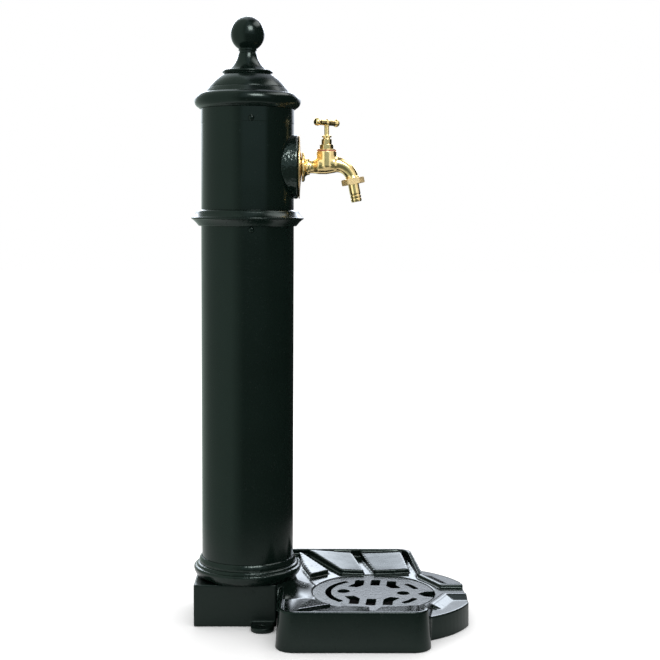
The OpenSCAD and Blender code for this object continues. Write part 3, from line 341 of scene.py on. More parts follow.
def enamel(name, gloss, grain, lumps, ior, peel=0.012, waves=0.25):
    """Dark green paint. Gloss is its roughness, and grain the height of the casting's lumps in mm."""
    finish, tree, shader = new_finish(name)
    where = own_place(tree)
    film = place(tree, "ShaderNodeGroup", {
        "Place": where, "Peel": peel, "Waves": waves}, node_tree=paint_film).outputs
    skin = place(tree, "ShaderNodeGroup", {
        "Place": where, "Grain": grain, "Lumps": lumps}, node_tree=cast_skin).outputs
    mottled = blend(tree, ramp(tree, film["Mottle"], 0.35, 0.75), deep_green, worn_green)
    uneven = ramp(tree, film["Mottle"], 0.3, 0.7, gloss * 0.88, gloss * 1.15)
    feed(tree, shader, {
        "Base Color": blend(tree, film["Specks"], mottled, dust_grey),
        "Roughness": calc(tree, "MULTIPLY_ADD", skin["Pits"], 0.25, uneven),
        "Normal": raised(tree, calc(tree, "ADD", film["Height"], skin["Height"])),
        "IOR": ior, "Specular Tint": paint_shine})
    return finish


def piece(name, mesh, finish, body, slot, *nodes):
    """Shows a mesh as a piece that stands for its nodes and moves with their body."""
    mesh.name = name
    made = shown(name, mesh, finish)
    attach(made, body)
    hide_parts(*nodes)
    if "brass" in slot:
        brass_pieces.objects.link(made)
    return made


def evaluated(mesh, *modifiers):
    """A plain mesh after modifiers, each given as its type and a dictionary of settings."""
    bench = bpy.data.objects.new("bench", mesh)
    scene.collection.objects.link(bench)
    for kind, settings in modifiers:
        modifier = bench.modifiers.new(kind, kind)
        for setting, value in settings.items():
            setattr(modifier, setting, value)
    result = bpy.data.meshes.new_from_object(bench.evaluated_get(bpy.context.evaluated_depsgraph_get()))
    bpy.data.objects.remove(bench)
    return result


def even_skin(mesh, cell, rounds):
    """A mesh in even cells, with its edges rubbed round."""
    return evaluated(
        mesh,
        ("REMESH", {"mode": "VOXEL", "voxel_size": cell, "use_smooth_shade": True}),
        ("SMOOTH", {"factor": 0.5, "iterations": rounds}))


weld = 0.002 * mm


def casting(node, cell, rounds, most=190000):
    """A casting's mesh from its CAD node, in even cells and thinned to the most triangles it may have."""
    raw = bmesh.new()
    raw.from_mesh(frame["nodes"][node].data)
    bmesh.ops.remove_doubles(raw, verts=raw.verts, dist=weld)
    even = even_skin(plain_mesh(raw, node), cell, rounds)
    triangles = 2 * len(even.polygons)
    if triangles <= most:
        return even
    thinned = evaluated(even, ("DECIMATE", {"ratio": most / triangles}))
    thinned.shade_smooth()
    return thinned


block_mesh = casting("base_block", 1.3 * mm, 5)
block_finish = enamel("block_paint", gloss=0.32, grain=0.10, lumps=210, ior=1.4)
piece("foot_block", block_mesh, block_finish, "standpipe", "green_casting", "base_block")

# The base ring: a cast socket that the column stands in, with three beads stepping out to a round
# skirt. Its paint is thin, so the sand's grain shows and sparkles. Four bolts hold it on the block.
on_axis = 0.01 * mm
seam = 0.0005 * mm


def arc(start, end, bulge, steps=10):
    """Points of a circular arc that bulges to the left of its chord."""
    p, q = Vector(start), Vector(end)
    chord = (q - p).length
    side = Vector((p.y - q.y, q.x - p.x)) / chord
    radius = (chord * chord / 4 + bulge * bulge) / (2 * bulge)
    centre = (p + q) / 2 + side * (bulge - radius)
    first = math.atan2(p.y - centre.y, p.x - centre.x)
    last = math.atan2(q.y - centre.y, q.x - centre.x)
    turn = (last - first + 3 * math.pi) % (2 * math.pi) - math.pi
    angles = [first + turn * k / steps for k in range(steps + 1)]
    return [(centre.x + abs(radius) * math.cos(a), centre.y + abs(radius) * math.sin(a)) for a in angles]


def rounded(outline, fillet, steps=4):
    """A closed outline whose corners are rounded, and held by points close to the ends of its sides."""
    points = []
    corners = [Vector(p) for p in outline]
    for i, here in enumerate(corners):
        to_last = corners[i - 1] - here
        to_next = corners[(i + 1) % len(corners)] - here
        long_enough = to_last.length > 0 and to_next.length > 0
        if here.x < on_axis or not long_enough or abs(to_last.angle(-to_next)) <= math.radians(25):
            points.append(here)
            continue
        reach = min(fillet, 0.45 * to_last.length, 0.45 * to_next.length)
        start = here + to_last.normalized() * reach
        end = here + to_next.normalized() * reach
        for k in range(steps + 1):
            t = k / steps
            points.append(start.lerp(here, t).lerp(here.lerp(end, t), t))
    held = []
    for here, after in zip(points, points[1:] + points[:1]):
        held.append(here)
        side = (after - here).length
        if side > 4 * fillet:
            held.append(here.lerp(after, fillet / side))
            held.append(after.lerp(here, fillet / side))
    return held


def turned(outline, stand=Matrix.Identity(4), parts=144, waist=None):
    """A closed outline of radii and heights turned about Z, on a stand. Waist changes radii by angle."""
    shape = bmesh.new()
    rings = []
    for radius, height in outline:
        if radius < on_axis:
            rings.append([shape.verts.new(stand @ Vector((0, 0, height)))])
            continue
        ring = []
        for k in range(parts):
            a = 2 * math.pi * k / parts
            r = waist(radius, height, a) if waist else radius
            ring.append(shape.verts.new(stand @ Vector((r * math.cos(a), r * math.sin(a), height))))
        rings.append(ring)
    for low, high in zip(rings, rings[1:] + rings[:1]):
        for k in range(parts):
            around = [low[k % len(low)], low[(k + 1) % len(low)]]
            around += [high[(k + 1) % len(high)], high[k % len(high)]]
            corners = list(dict.fromkeys(around))
            if len(corners) > 2:
                shape.faces.new(corners)
    bmesh.ops.remove_doubles(shape, verts=shape.verts, dist=seam)
    bmesh.ops.recalc_face_normals(shape, faces=shape.faces)
    mesh = plain_mesh(shape, "turned")
    mesh.shade_smooth()
    return mesh


def roughen(mesh, size, depth, seed):
    """Moves a mesh's points along their normals by noise, as the sand does to a casting."""
    shift = Vector((seed, 2.7 * seed, 5.1 * seed))
    normals = [n.vector.copy() for n in mesh.vertex_normals]
    for vertex, normal in zip(mesh.vertices, normals):
        lump = noise.fractal(vertex.co / size + shift, 0.9, 2.0, 3)
        vertex.co -= normal * depth * (0.5 - 0.5 * lump)
    mesh.update()


tube_low, tube_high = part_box("lower_tube")
tube_r = tube_high.x
socket_r = tube_r + 0.1 * mm
block_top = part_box("base_block")[1].z
ring_out = 12.4 * mm
ring_h = 31 * mm
ring_bore = 60 * mm
mouth_wall = 1.1 * mm
mouth_edge = 0.6 * mm
ring_bead = ring_out / 3
bead_bulge = 0.32 * ring_bead
skirt_bulge = 0.4 * ring_bead
ring_r = tube_r + ring_out
ring_top = block_top + ring_h
ring_skirt = block_top + 0.43 * ring_h
ring_corners = [(ring_r - i * ring_bead, ring_skirt + i * ring_bead) for i in range(3)]
ring_mouth = (tube_r + mouth_wall, ring_top)
ring_outline = [(ring_bore, block_top), (tube_r + ring_bead, block_top)]
ring_outline += arc(ring_outline[-1], ring_corners[0], -skirt_bulge)[1:]
for start, end in zip(ring_corners, ring_corners[1:] + [ring_mouth]):
    ring_outline += arc(start, end, -bead_bulge, 8)[1:]
ring_outline += [(socket_r, ring_top - mouth_edge), (socket_r, tube_low.z), (ring_bore, tube_low.z)]
ring_mesh = turned(rounded(ring_outline, 0.5 * mm), parts=288)
roughen(ring_mesh, 5 * mm, 0.4 * mm, 3)
ring_finish = enamel("ring_paint", gloss=0.16, grain=0.2, lumps=400, ior=1.45)
piece("base_ring", ring_mesh, ring_finish, "standpipe", "green_casting", "base_ring")

# The column's lower tube: rolled steel, painted in an even gloss with slow waves in it. It stands in
# the base ring and holds the middle ring on its upper end.
tube_wall = 3.5 * mm
tube_in = tube_r - tube_wall
tube_outline = [(tube_r, tube_low.z), (tube_r, tube_high.z), (tube_in, tube_high.z), (tube_in, tube_low.z)]
tube_mesh = turned(rounded(tube_outline, 0.4 * mm), parts=256)
tube_finish = enamel("tube_paint", gloss=0.16, grain=0.008, lumps=300, ior=1.4)
piece("lower_tube", tube_mesh, tube_finish, "standpipe", "green_tube", "lower_tube")

# The middle ring: a casting with a pointed moulding, painted. Its web lies between the tube and the
# drum, which both sit in its sockets.
web_low = tube_high.z
web_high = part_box("upper_drum")[0].z
mid_h = 23.5 * mm
mid_out = 14.7 * mm
mid_edge = 1.75 * mm
mid_lip = 1 * mm
mid_hollow = 0.03 * mid_out
mid_core = tube_in - 5 * mm
mid_foot = web_low - 0.4 * mid_h
mid_foot_r = socket_r + 0.3 * mid_out
mid_head = mid_foot + mid_h
mid_bead = (socket_r + 0.48 * mid_out, mid_head - 0.1 * mid_h)
mid_tip = web_low + 0.085 * mid_h
mid_tip_r = tube_r + mid_out - mid_edge
tip_foot = (mid_tip_r, mid_tip - mid_edge)
tip_head = (mid_tip_r, mid_tip + mid_edge)
mid_outline = [(mid_core, web_low), (socket_r, web_low), (socket_r, mid_foot)]
mid_outline += [(mid_foot_r - mid_lip, mid_foot)]
mid_outline += arc((mid_foot_r, mid_foot + mid_lip), tip_foot, mid_hollow, 10)
mid_outline += arc(tip_foot, tip_head, -0.9 * mid_edge, 10)[1:]
mid_outline += arc(tip_head, mid_bead, mid_hollow, 10)[1:]
mid_outline += arc(mid_bead, (socket_r + mid_lip, mid_head), -0.04 * mid_h, 8)[1:]
mid_outline += [(socket_r, mid_head), (socket_r, web_high), (mid_core, web_high)]
mid_mesh = turned(rounded(mid_outline, 0.5 * mm), parts=256)
roughen(mid_mesh, 14 * mm, 0.12 * mm, 8)
casting_finish = enamel("casting_paint", gloss=0.2, grain=0.03, lumps=260, ior=1.4)
piece("middle_ring", mid_mesh, casting_finish, "standpipe", "green_casting", "mid_ring")

# The drum: the upper length of the same steel tube, which carries the tap. A fine step runs round it
# below the cap, and it has the tube's gloss paint.
drum_low, drum_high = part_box("upper_drum")
band_h = 21 * mm
step_in = 0.25 * mm
step_h = 0.3 * mm
drum_r = tube_r - step_in
band_low = drum_high.z - band_h
drum_outline = [(drum_r, drum_low.z), (drum_r, band_low), (tube_r, band_low + step_h)]
drum_outline += [(tube_r, drum_high.z), (tube_in, drum_high.z), (tube_in, drum_low.z)]
drum_mesh = turned(rounded(drum_outline, 0.3 * mm), parts=256)
piece("upper_drum", drum_mesh, tube_finish, "standpipe", "green_tube", "upper_drum")

# Set screws: round heads with a slot, painted over, three below the cap and three below the middle
# ring. They hold the tube and the drum on the spigots of the castings.
screw_r = 4.25 * mm
screw_h = 3.0 * mm
screw_root = -2 * mm
screw_slot = 0.9 * mm
screw_count = 3
screw_turn = math.radians(-83)
screw_outline = [(0, screw_root), (screw_r, screw_root), (screw_r, 0.25 * screw_h)]
screw_outline += arc((screw_r, 0.27 * screw_h), (0, screw_h), -0.3 * screw_h, 8)[1:]
screw_head = turned(rounded(screw_outline, 0.3 * mm), Matrix.Rotation(math.pi / 2, 4, "Y"), parts=48)
slot_cut = bmesh.new()
slot_cut.from_mesh(screw_head)
for side in (-1, 1):
    edge = Vector((0, side * screw_slot / 2, 0))
    around = slot_cut.verts[:] + slot_cut.edges[:] + slot_cut.faces[:]
    bmesh.ops.bisect_plane(slot_cut, geom=around, plane_co=edge, plane_no=(0, 1, 0))
for vertex in slot_cut.verts:
    if abs(vertex.co.y) < 0.49 * screw_slot and vertex.co.x > 0.4 * screw_h:
        vertex.co.x = 0.6 * screw_h
slot_cut.to_mesh(screw_head)
slot_cut.free()

screw_ring = bpy.data.node_groups.new("screws_round_the_column", "GeometryNodeTree")
screw_ring.interface.new_socket("Geometry", in_out="OUTPUT", socket_type="NodeSocketGeometry")
screw_sockets = {}
for socket, kind in (("Count", "Int"), ("Radius", "Float"), ("Height", "Float"), ("First", "Float"),
                     ("Screw", "Object"), ("Finish", "Material")):
    screw_input = screw_ring.interface.new_socket(socket, in_out="INPUT", socket_type="NodeSocket" + kind)
    screw_sockets[socket] = screw_input.identifier
screw_in = place(screw_ring, "NodeGroupInput").outputs
screw_circle = place(screw_ring, "GeometryNodeMeshCircle", {
    "Vertices": screw_in["Count"], "Radius": screw_in["Radius"]})
screw_number = place(screw_ring, "GeometryNodeInputIndex").outputs[0]
screw_step = calc(screw_ring, "DIVIDE", 2 * math.pi, screw_in["Count"])
screw_facing = place(screw_ring, "ShaderNodeCombineXYZ", {
    "Z": calc(screw_ring, "MULTIPLY", screw_number, screw_step)})
screw_shape = place(screw_ring, "GeometryNodeObjectInfo", {"Object": screw_in["Screw"]})
screw_copies = place(screw_ring, "GeometryNodeInstanceOnPoints", {
    "Points": screw_circle.outputs[0], "Rotation": screw_facing.outputs[0],
    "Instance": screw_shape.outputs["Geometry"]})
screw_lift = place(screw_ring, "ShaderNodeCombineXYZ", {"Z": screw_in["Height"]})
screw_first = place(screw_ring, "ShaderNodeCombineXYZ", {"Z": screw_in["First"]})
screw_plain = place(screw_ring, "GeometryNodeRealizeInstances", {"Geometry": screw_copies.outputs[0]})
screw_moved = place(screw_ring, "GeometryNodeTransform", {
    "Geometry": screw_plain.outputs[0], "Translation": screw_lift.outputs[0],
    "Rotation": screw_first.outputs[0]})
screw_set = place(screw_ring, "GeometryNodeSetMaterial", {
    "Geometry": screw_moved.outputs[0], "Material": screw_in["Finish"]})
place(screw_ring, "NodeGroupOutput", {"Geometry": screw_set.outputs[0]})


def from_nodes(tree, sockets, values):
    """The plain mesh that a geometry tree makes with these values for its inputs."""
    bench = bpy.data.objects.new("bench", bpy.data.meshes.new("bench"))
    scene.collection.objects.link(bench)
    modifier = bench.modifiers.new("nodes", "NODES")
    modifier.node_group = tree
    for socket, value in values.items():
        modifier[sockets[socket]] = value
    mesh = bpy.data.meshes.new_from_object(bench.evaluated_get(bpy.context.evaluated_depsgraph_get()))
    bpy.data.objects.remove(bench)
    return mesh


screw_sample = bpy.data.objects.new("screw_sample", screw_head)
for name in ("collar_screws", "cap_screws"):
    low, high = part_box(name)
    screws = from_nodes(screw_ring, screw_sockets, {
        "Count": screw_count, "Radius": tube_r, "Height": (low.z + high.z) / 2, "First": screw_turn,
        "Screw": screw_sample, "Finish": tube_finish})
    piece(name, screws, tube_finish, "standpipe", "green_tube", name)
bpy.data.objects.remove(screw_sample)

# The cap: a casting with a round rim, a dome with a step, a small ring and a concave neck. It is
# painted like the middle ring, and its spigot sits in the drum.
cap_low = drum_high.z
rim_h = 22.5 * mm
rim_out = 9.7 * mm
rim_lip = 3.5 * mm
rim_edge = 1.6 * mm
rim_inset = 0.8 * mm
ledge_in = 8.3 * mm
ledge_h = 7.5 * mm
ledge_w = 1.4 * mm
dome_h = 27.5 * mm
dome_bulge = 1.5 * mm
groove = 1 * mm
neck_ring_r = 36.5 * mm
neck_ring_h = 5.5 * mm
neck_ring_edge = 1.4 * mm
neck_ring_bulge = 1.6 * mm
neck_inset = 7.5 * mm
neck_h = 25 * mm
neck_r = 13.4 * mm
rim_foot = (tube_r + rim_lip, cap_low + rim_edge)
rim_head = (tube_r - rim_inset, cap_low + rim_h)
rim_bulge = tube_r + rim_out - (rim_foot[0] + rim_head[0]) / 2
ledge_top = cap_low + rim_h + ledge_h
ledge_r = tube_r - ledge_in
dome_r = ledge_r - ledge_w
dome_top = cap_low + rim_h + dome_h
neck_ring_in = neck_ring_r - neck_ring_edge
neck_foot = dome_top + neck_ring_h
neck_top = neck_foot + neck_h
cap_outline = [(mid_core, cap_low), (rim_foot[0] - rim_edge, cap_low)]
cap_outline += arc(rim_foot, rim_head, -rim_bulge, 20)
cap_outline += [(ledge_r, ledge_top), (dome_r, ledge_top)]
cap_outline += arc((dome_r, ledge_top + groove), (neck_ring_r, dome_top), -dome_bulge, 14)
cap_outline += [(neck_ring_in, dome_top + groove)]
cap_outline += arc(
    (neck_ring_in, dome_top + 1.5 * groove), (neck_ring_in, neck_foot), -neck_ring_bulge, 8)
cap_outline += arc(
    (neck_ring_r - neck_inset, neck_foot + groove), (neck_r, neck_top), 0.115 * neck_h, 18)
cap_outline += [(0, neck_top), (0, cap_low + rim_h), (mid_core, cap_low + rim_h / 2)]
cap_mesh = turned(rounded(cap_outline, 0.7 * mm), parts=256)
roughen(cap_mesh, 16 * mm, 0.15 * mm, 5)
piece("cap", cap_mesh, casting_finish, "standpipe", "green_casting", "cap")

# The ball: turned iron, on a collar and a short foot of the same piece, and painted like the cap. A
# stud inside screws it to the neck.


def globe(radius, centre, foot_r, steps):
    """Points of a ball's side, from where it meets a foot of this radius up to its top."""
    first = math.pi - math.asin(foot_r / radius)
    angles = [first * (1 - k / steps) for k in range(steps + 1)]
    return [(radius * math.sin(a), centre + radius * math.cos(a)) for a in angles]


ball_low, ball_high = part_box("ball_finial")
ball_r = ball_high.x
ball_z = ball_high.z - ball_r
ball_foot_r = neck_r - 1.3 * mm
collar_low = ball_low.z + 3.5 * mm
collar_top = collar_low + 2.7 * mm
ball_outline = [(0, ball_low.z), (ball_foot_r, ball_low.z), (ball_foot_r, collar_low)]
ball_outline += [(neck_r, collar_low), (neck_r, collar_top)]
ball_outline += globe(ball_r, ball_z, neck_r, 40)
ball_mesh = turned(rounded(ball_outline, 0.5 * mm), parts=128)
roughen(ball_mesh, 12 * mm, 0.1 * mm, 2)
piece("ball", ball_mesh, casting_finish, "standpipe", "green_casting", "ball_finial")

# The boss: a rough sand casting saddled to the drum, which carries the tap's tail. It is painted like
# the rest, and its coarse grain sparkles.
boss_mesh = casting("tap_boss", 0.7 * mm, 4)
roughen(boss_mesh, 3.4 * mm, 0.45 * mm, 6)
boss_finish = enamel("boss_paint", gloss=0.1, grain=0.14, lumps=480, ior=1.6)
piece("tap_boss", boss_mesh, boss_finish, "standpipe", "rough_casting", "tap_boss")

# The rosette: a thin brass plate, dished, that covers the boss. The wall rose in front of it is a
# turned brass disc with a cone that hides the tail's thread.
brass_skin, brass_in = new_group("brass_skin", {"Dents": 0.02}, ("Height", "Tarnish", "Smudge"))
brass_at = brass_in["Place"]
brass_waves = speckle(brass_skin, brass_at, 140, 2.0)
brass_scratches = speckle(brass_skin, brass_at, 1900, 2.0, 0.7)
brass_height = calc(brass_skin, "MULTIPLY_ADD", brass_scratches, 0.12, brass_waves)
place(brass_skin, "NodeGroupOutput", {
    "Height": calc(brass_skin, "MULTIPLY", brass_height, brass_in["Dents"]),
    "Tarnish": ramp(brass_skin, speckle(brass_skin, brass_at, 95, 6.0, 0.65), 0.52, 0.78),
    "Smudge": speckle(brass_skin, brass_at, 230, 4.0, 0.6)})


def brass(name, bright, dull, gloss, dents):
    """Brass with a little tarnish. Gloss is its roughness, and dents the height of its waves in mm."""
    finish, tree, shader = new_finish(name)
    skin = place(tree, "ShaderNodeGroup", {
        "Place": own_place(tree), "Dents": dents}, node_tree=brass_skin).outputs
    feed(tree, shader, {
        "Base Color": blend(tree, skin["Tarnish"], bright, dull),
        "Roughness": ramp(tree, skin["Smudge"], 0.3, 0.75, gloss * 0.8, gloss * 1.4),
        "Normal": raised(tree, skin["Height"]),
        "Metallic": 1.0})
    return finish


polished = brass("polished_brass", (0.92, 0.70, 0.33, 1), (0.70, 0.47, 0.19, 1), 0.18, 0.03)
plate_finish = brass("plate_brass", (0.84, 0.60, 0.30, 1), (0.64, 0.42, 0.19, 1), 0.26, 0.02)
rose_low, rose_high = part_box("wall_rose")
tap_z = (rose_low.z + rose_high.z) / 2


def along_x(x):
    """A stand on the tap's inlet axis, so that what is turned about Z runs along X."""
    return Matrix.Translation((x, 0, tap_z)) @ Matrix.Rotation(math.pi / 2, 4, "Y")


plate_low, plate_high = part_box("rosette_plate")
plate_r = plate_high.y
plate_t = 1.5 * mm
plate_bulge = 0.4 * mm
plate_bore = 10.55 * mm
plate_dish = plate_high.x - plate_low.x - plate_t
plate_outline = [(plate_bore, plate_dish)]
plate_outline += arc((plate_bore, plate_dish), (plate_r, 0), -plate_bulge, 10)[1:]
plate_outline += arc((plate_r, plate_t), (plate_bore, plate_dish + plate_t), plate_bulge, 10)
plate_mesh = turned(rounded(plate_outline, 0.4 * mm), along_x(plate_low.x), parts=160)
piece("rosette_plate", plate_mesh, plate_finish, "standpipe", "polished_brass", "rosette_plate")

rose_r = rose_high.y
rose_t = 4.5 * mm
rose_len = rose_high.x - rose_low.x
cone_foot = rose_r - 6 * mm
cone_tip = plate_bore + 1.3 * mm
rose_outline = [(plate_bore, 0), (rose_r - 0.4 * mm, 0), (rose_r, 0.8 * mm)]
rose_outline += arc((rose_r, 0.5 * rose_t), (rose_r - 5 * mm, rose_t), -1 * mm, 8)
rose_outline += arc((cone_foot, rose_t), (cone_tip, rose_len), 1.4 * mm, 10)
rose_outline += [(plate_bore, rose_len)]
rose_mesh = turned(rounded(rose_outline, 0.5 * mm), along_x(rose_low.x), parts=128)
piece("wall_rose", rose_mesh, polished, "standpipe", "polished_brass", "wall_rose")

# The tap's body: one brass casting from the threaded tail through the valve chamber and round the
# bend to the outlet, fettled and polished so that its parts flow into each other.
body_mesh = casting("tap_body", 0.5 * mm, 14)
flow_low = rose_high.x + 2 * mm
flow_high = 140 * mm
flow_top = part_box("tap_body")[1].z - 1.5 * mm
flow_fade = 8 * mm


def flow_share(spot):
    """How far hollow corners are filled at a spot: wholly below the chamber, and not at the ends."""
    to_edge = min(spot.x - flow_low, flow_high - spot.x, flow_top - spot.z)
    return min(max(to_edge / flow_fade, 0.0), 1.0)


def fill_hollows(mesh, share, passes, far, clear=0.3 * mm, renew=10):
    """Rounds the hollow corners of a mesh's outer skin: points move out to the middle of their neighbours.

    A point is on the outer skin if a ray along its normal, from a start clear of it, meets nothing within
    the distance far. The normals are renewed every few passes."""
    count = len(mesh.vertices)
    spots = np.empty((count, 3))
    mesh.vertices.foreach_get("co", spots.reshape(-1))
    ends = np.empty((len(mesh.edges), 2), dtype=int)
    mesh.edges.foreach_get("vertices", ends.reshape(-1))
    start, stop = ends[:, 0], ends[:, 1]
    degree = np.bincount(ends.reshape(-1), minlength=count)[:, None]
    skin = BVHTree.FromPolygons([v.co for v in mesh.vertices], [tuple(p.vertices) for p in mesh.polygons])
    cast = spots.copy()
    shares = np.array([share(v.co) for v in mesh.vertices])
    free = np.zeros(count, dtype=bool)
    for vertex, normal in zip(mesh.vertices, mesh.vertex_normals):
        if shares[vertex.index] > 0:
            met = skin.ray_cast(vertex.co + normal.vector * clear, normal.vector, far)
            free[vertex.index] = met[0] is None
    for number in range(passes):
        if number % renew == 0:
            mesh.vertices.foreach_set("co", spots.reshape(-1))
            mesh.update()
            normals = np.array([n.vector for n in mesh.vertex_normals])
        middle = np.empty_like(spots)
        for axis in range(3):
            first = np.bincount(start, spots[stop, axis], count)
            middle[:, axis] = first + np.bincount(stop, spots[start, axis], count)
        outward = ((middle / degree - spots) * normals).sum(axis=1)
        spots += (0.5 * np.where(free & (outward > 0), outward, 0))[:, None] * normals
    spots = cast + (spots - cast) * shares[:, None]
    mesh.vertices.foreach_set("co", spots.reshape(-1))
    mesh.update()


fill_hollows(body_mesh, flow_share, 260, 25 * mm)
piece("tap_body", body_mesh, polished, "standpipe", "polished_brass", "tap_body")

# The valve's head: a bonnet with a hexagon, sealed to the body by a red fibre washer, and a gland
# nut that presses the packing round the spindle. Both are turned from hexagon brass bar.


def hexagonal(corners, sharp=26.0):
    """Cuts radii at an angle so that a turned shape of this outer radius gets six soft flats."""
    flat = corners * math.cos(math.pi / 6)

    def waist(radius, height, angle):
        reach = sum(abs(math.cos(angle - math.pi / 6 - k * math.pi / 3)) ** sharp for k in range(3))
        return min(radius, flat / reach ** (1 / sharp))
    return waist


def spread_waist(shape_of, low, high):
    """Uses a waist only between two heights."""
    def waist(radius, height, angle):
        return shape_of(radius, height, angle) if low <= height <= high else radius
    return waist


bonnet_low, bonnet_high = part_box("bonnet")
washer_low, washer_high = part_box("bonnet_washer")
gland_low, gland_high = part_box("gland_nut")
valve_x = (bonnet_low.x + bonnet_high.x) / 2
valve_stand = Matrix.Translation((valve_x, 0, 0))
flange_r = 13.7 * mm
plug_r = 10.5 * mm
stem_r = 5.5 * mm
thread_r = 5.6 * mm
spindle_r = 3.6 * mm
spindle_bore = spindle_r + 0.1 * mm
bonnet_hex = 10.2 * mm
cut_r = 1.4 * mm
cut_h = 0.9 * mm
guide_low = gland_low.z - 5 * mm
hex_low = washer_high.z + 1.5 * mm
hex_high = gland_low.z
bonnet_outline = [(thread_r, bonnet_low.z), (plug_r, bonnet_low.z), (plug_r, washer_high.z)]
bonnet_outline += [(flange_r, washer_high.z), (flange_r, hex_low - 0.4 * mm)]
bonnet_outline += [(bonnet_hex - 0.5 * cut_r, hex_low), (bonnet_hex, hex_low + 0.5 * mm)]
bonnet_outline += [(bonnet_hex, hex_high - cut_h), (bonnet_hex - cut_r, hex_high)]
bonnet_outline += [(stem_r, hex_high), (stem_r, bonnet_high.z), (spindle_bore, bonnet_high.z)]
bonnet_outline += [(spindle_bore, guide_low), (thread_r, guide_low)]
bonnet_waist = spread_waist(hexagonal(bonnet_hex), hex_low, hex_high)
bonnet_mesh = turned(rounded(bonnet_outline, 0.35 * mm), valve_stand, 180, bonnet_waist)
piece("bonnet", bonnet_mesh, polished, "standpipe", "polished_brass", "bonnet")

fibre, fibre_tree, fibre_shader = new_finish("red_fibre")
fibre_strands = speckle(fibre_tree, own_place(fibre_tree), 1500, 4.0, 0.7)
feed(fibre_tree, fibre_shader, {
    "Base Color": blend(fibre_tree, fibre_strands, (0.42, 0.10, 0.05, 1), (0.62, 0.26, 0.16, 1)),
    "Normal": raised(fibre_tree, fibre_strands, 0.05 * mm),
    "Roughness": 0.65})
washer_r = washer_high.y
washer_bore = plug_r + 0.1 * mm
washer_outline = [(washer_bore, washer_low.z), (washer_r, washer_low.z)]
washer_outline += [(washer_r, washer_high.z), (washer_bore, washer_high.z)]
washer_mesh = turned(rounded(washer_outline, 0.4 * mm), valve_stand, 96)
piece("bonnet_washer", washer_mesh, fibre, "standpipe", "red_fibre", "bonnet_washer")

gland_hex = 7.7 * mm
gland_h = gland_high.z - gland_low.z
gland_flats = gland_low.z + 0.6 * gland_h
gland_groove = gland_low.z + 0.76 * gland_h
gland_edge = 0.8 * mm
gland_top_r = 5.0 * mm
groove_r = 0.68 * gland_hex
collar_r = 0.94 * gland_hex
gland_outline = [(spindle_bore, gland_low.z), (gland_hex - 0.6 * mm, gland_low.z)]
gland_outline += [(gland_hex, gland_low.z + 0.5 * mm), (gland_hex, gland_flats - gland_edge)]
gland_outline += [(gland_hex - 1.2 * mm, gland_flats), (groove_r, gland_flats), (groove_r, gland_groove)]
gland_outline += [(collar_r, gland_groove), (collar_r, gland_high.z - gland_edge)]
gland_outline += [(gland_top_r, gland_high.z), (spindle_bore, gland_high.z)]
gland_waist = spread_waist(hexagonal(gland_hex), gland_low.z, gland_flats)
gland_mesh = turned(rounded(gland_outline, 0.3 * mm), valve_stand, 180, gland_waist)
piece("gland_nut", gland_mesh, polished, "standpipe", "polished_brass", "gland_nut")

# The spindle and its tee handle: a turned brass bar with round knobs and a hub, polished, and pressed
# on the spindle's end. The spindle's thread works in the bonnet.
spindle_low, spindle_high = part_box("spindle")
handle_low, handle_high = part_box("tee_handle")
knob_r = 5.7 * mm
waist_r = 4.35 * mm
handle_half = 24 * mm
handle_turn = math.radians(45)
bar_z = handle_high.z - knob_r
hub_z = handle_low.z
spindle_thread_r = 5.5 * mm
spindle_end_r = spindle_r - 1 * mm
thread_top = guide_low - 9 * mm
spindle_outline = [(0, spindle_low.z), (spindle_thread_r, spindle_low.z), (spindle_thread_r, thread_top)]
spindle_outline += [(spindle_r, thread_top), (spindle_r, hub_z), (spindle_end_r, hub_z)]
spindle_outline += [(spindle_end_r, spindle_high.z), (0, spindle_high.z)]
spindle_mesh = turned(rounded(spindle_outline, 0.3 * mm), valve_stand, 96)
piece("spindle", spindle_mesh, polished, "handle", "polished_brass", "spindle")

knob_outline = [(0, -handle_half)]
knob_outline += arc((0.45 * knob_r, -handle_half), (knob_r, -handle_half + 0.7 * knob_r), -0.14 * knob_r, 8)
knob_outline += arc((knob_r, -handle_half + knob_r), (waist_r, -handle_half + 2 * knob_r), 0.09 * knob_r, 8)
bar_outline = knob_outline + [(r, -h) for r, h in reversed(knob_outline)]
bar_spot = Matrix.Translation((valve_x, 0, bar_z)) @ Matrix.Rotation(handle_turn, 4, "Z")
bar_stand = bar_spot @ Matrix.Rotation(math.pi / 2, 4, "Y")
bar_mesh = turned(rounded(bar_outline, 0.5 * mm), bar_stand, 128)
hub_r = spindle_r + 0.4 * mm
hub_ball = waist_r + 0.9 * mm
hub_neck = bar_z - 3.4 * mm
hub_outline = [(0, hub_z), (hub_r, hub_z), (hub_r, hub_neck)] + globe(hub_ball, bar_z, hub_r, 16)
hub_mesh = turned(rounded(hub_outline, 0.4 * mm), valve_stand, 96)
joined = bmesh.new()
joined.from_mesh(bar_mesh)
joined.from_mesh(hub_mesh)
handle_mesh = even_skin(plain_mesh(joined, "handle_raw"), 0.35 * mm, 6)
piece("tee_handle", handle_mesh, polished, "handle", "polished_brass", "tee_handle")

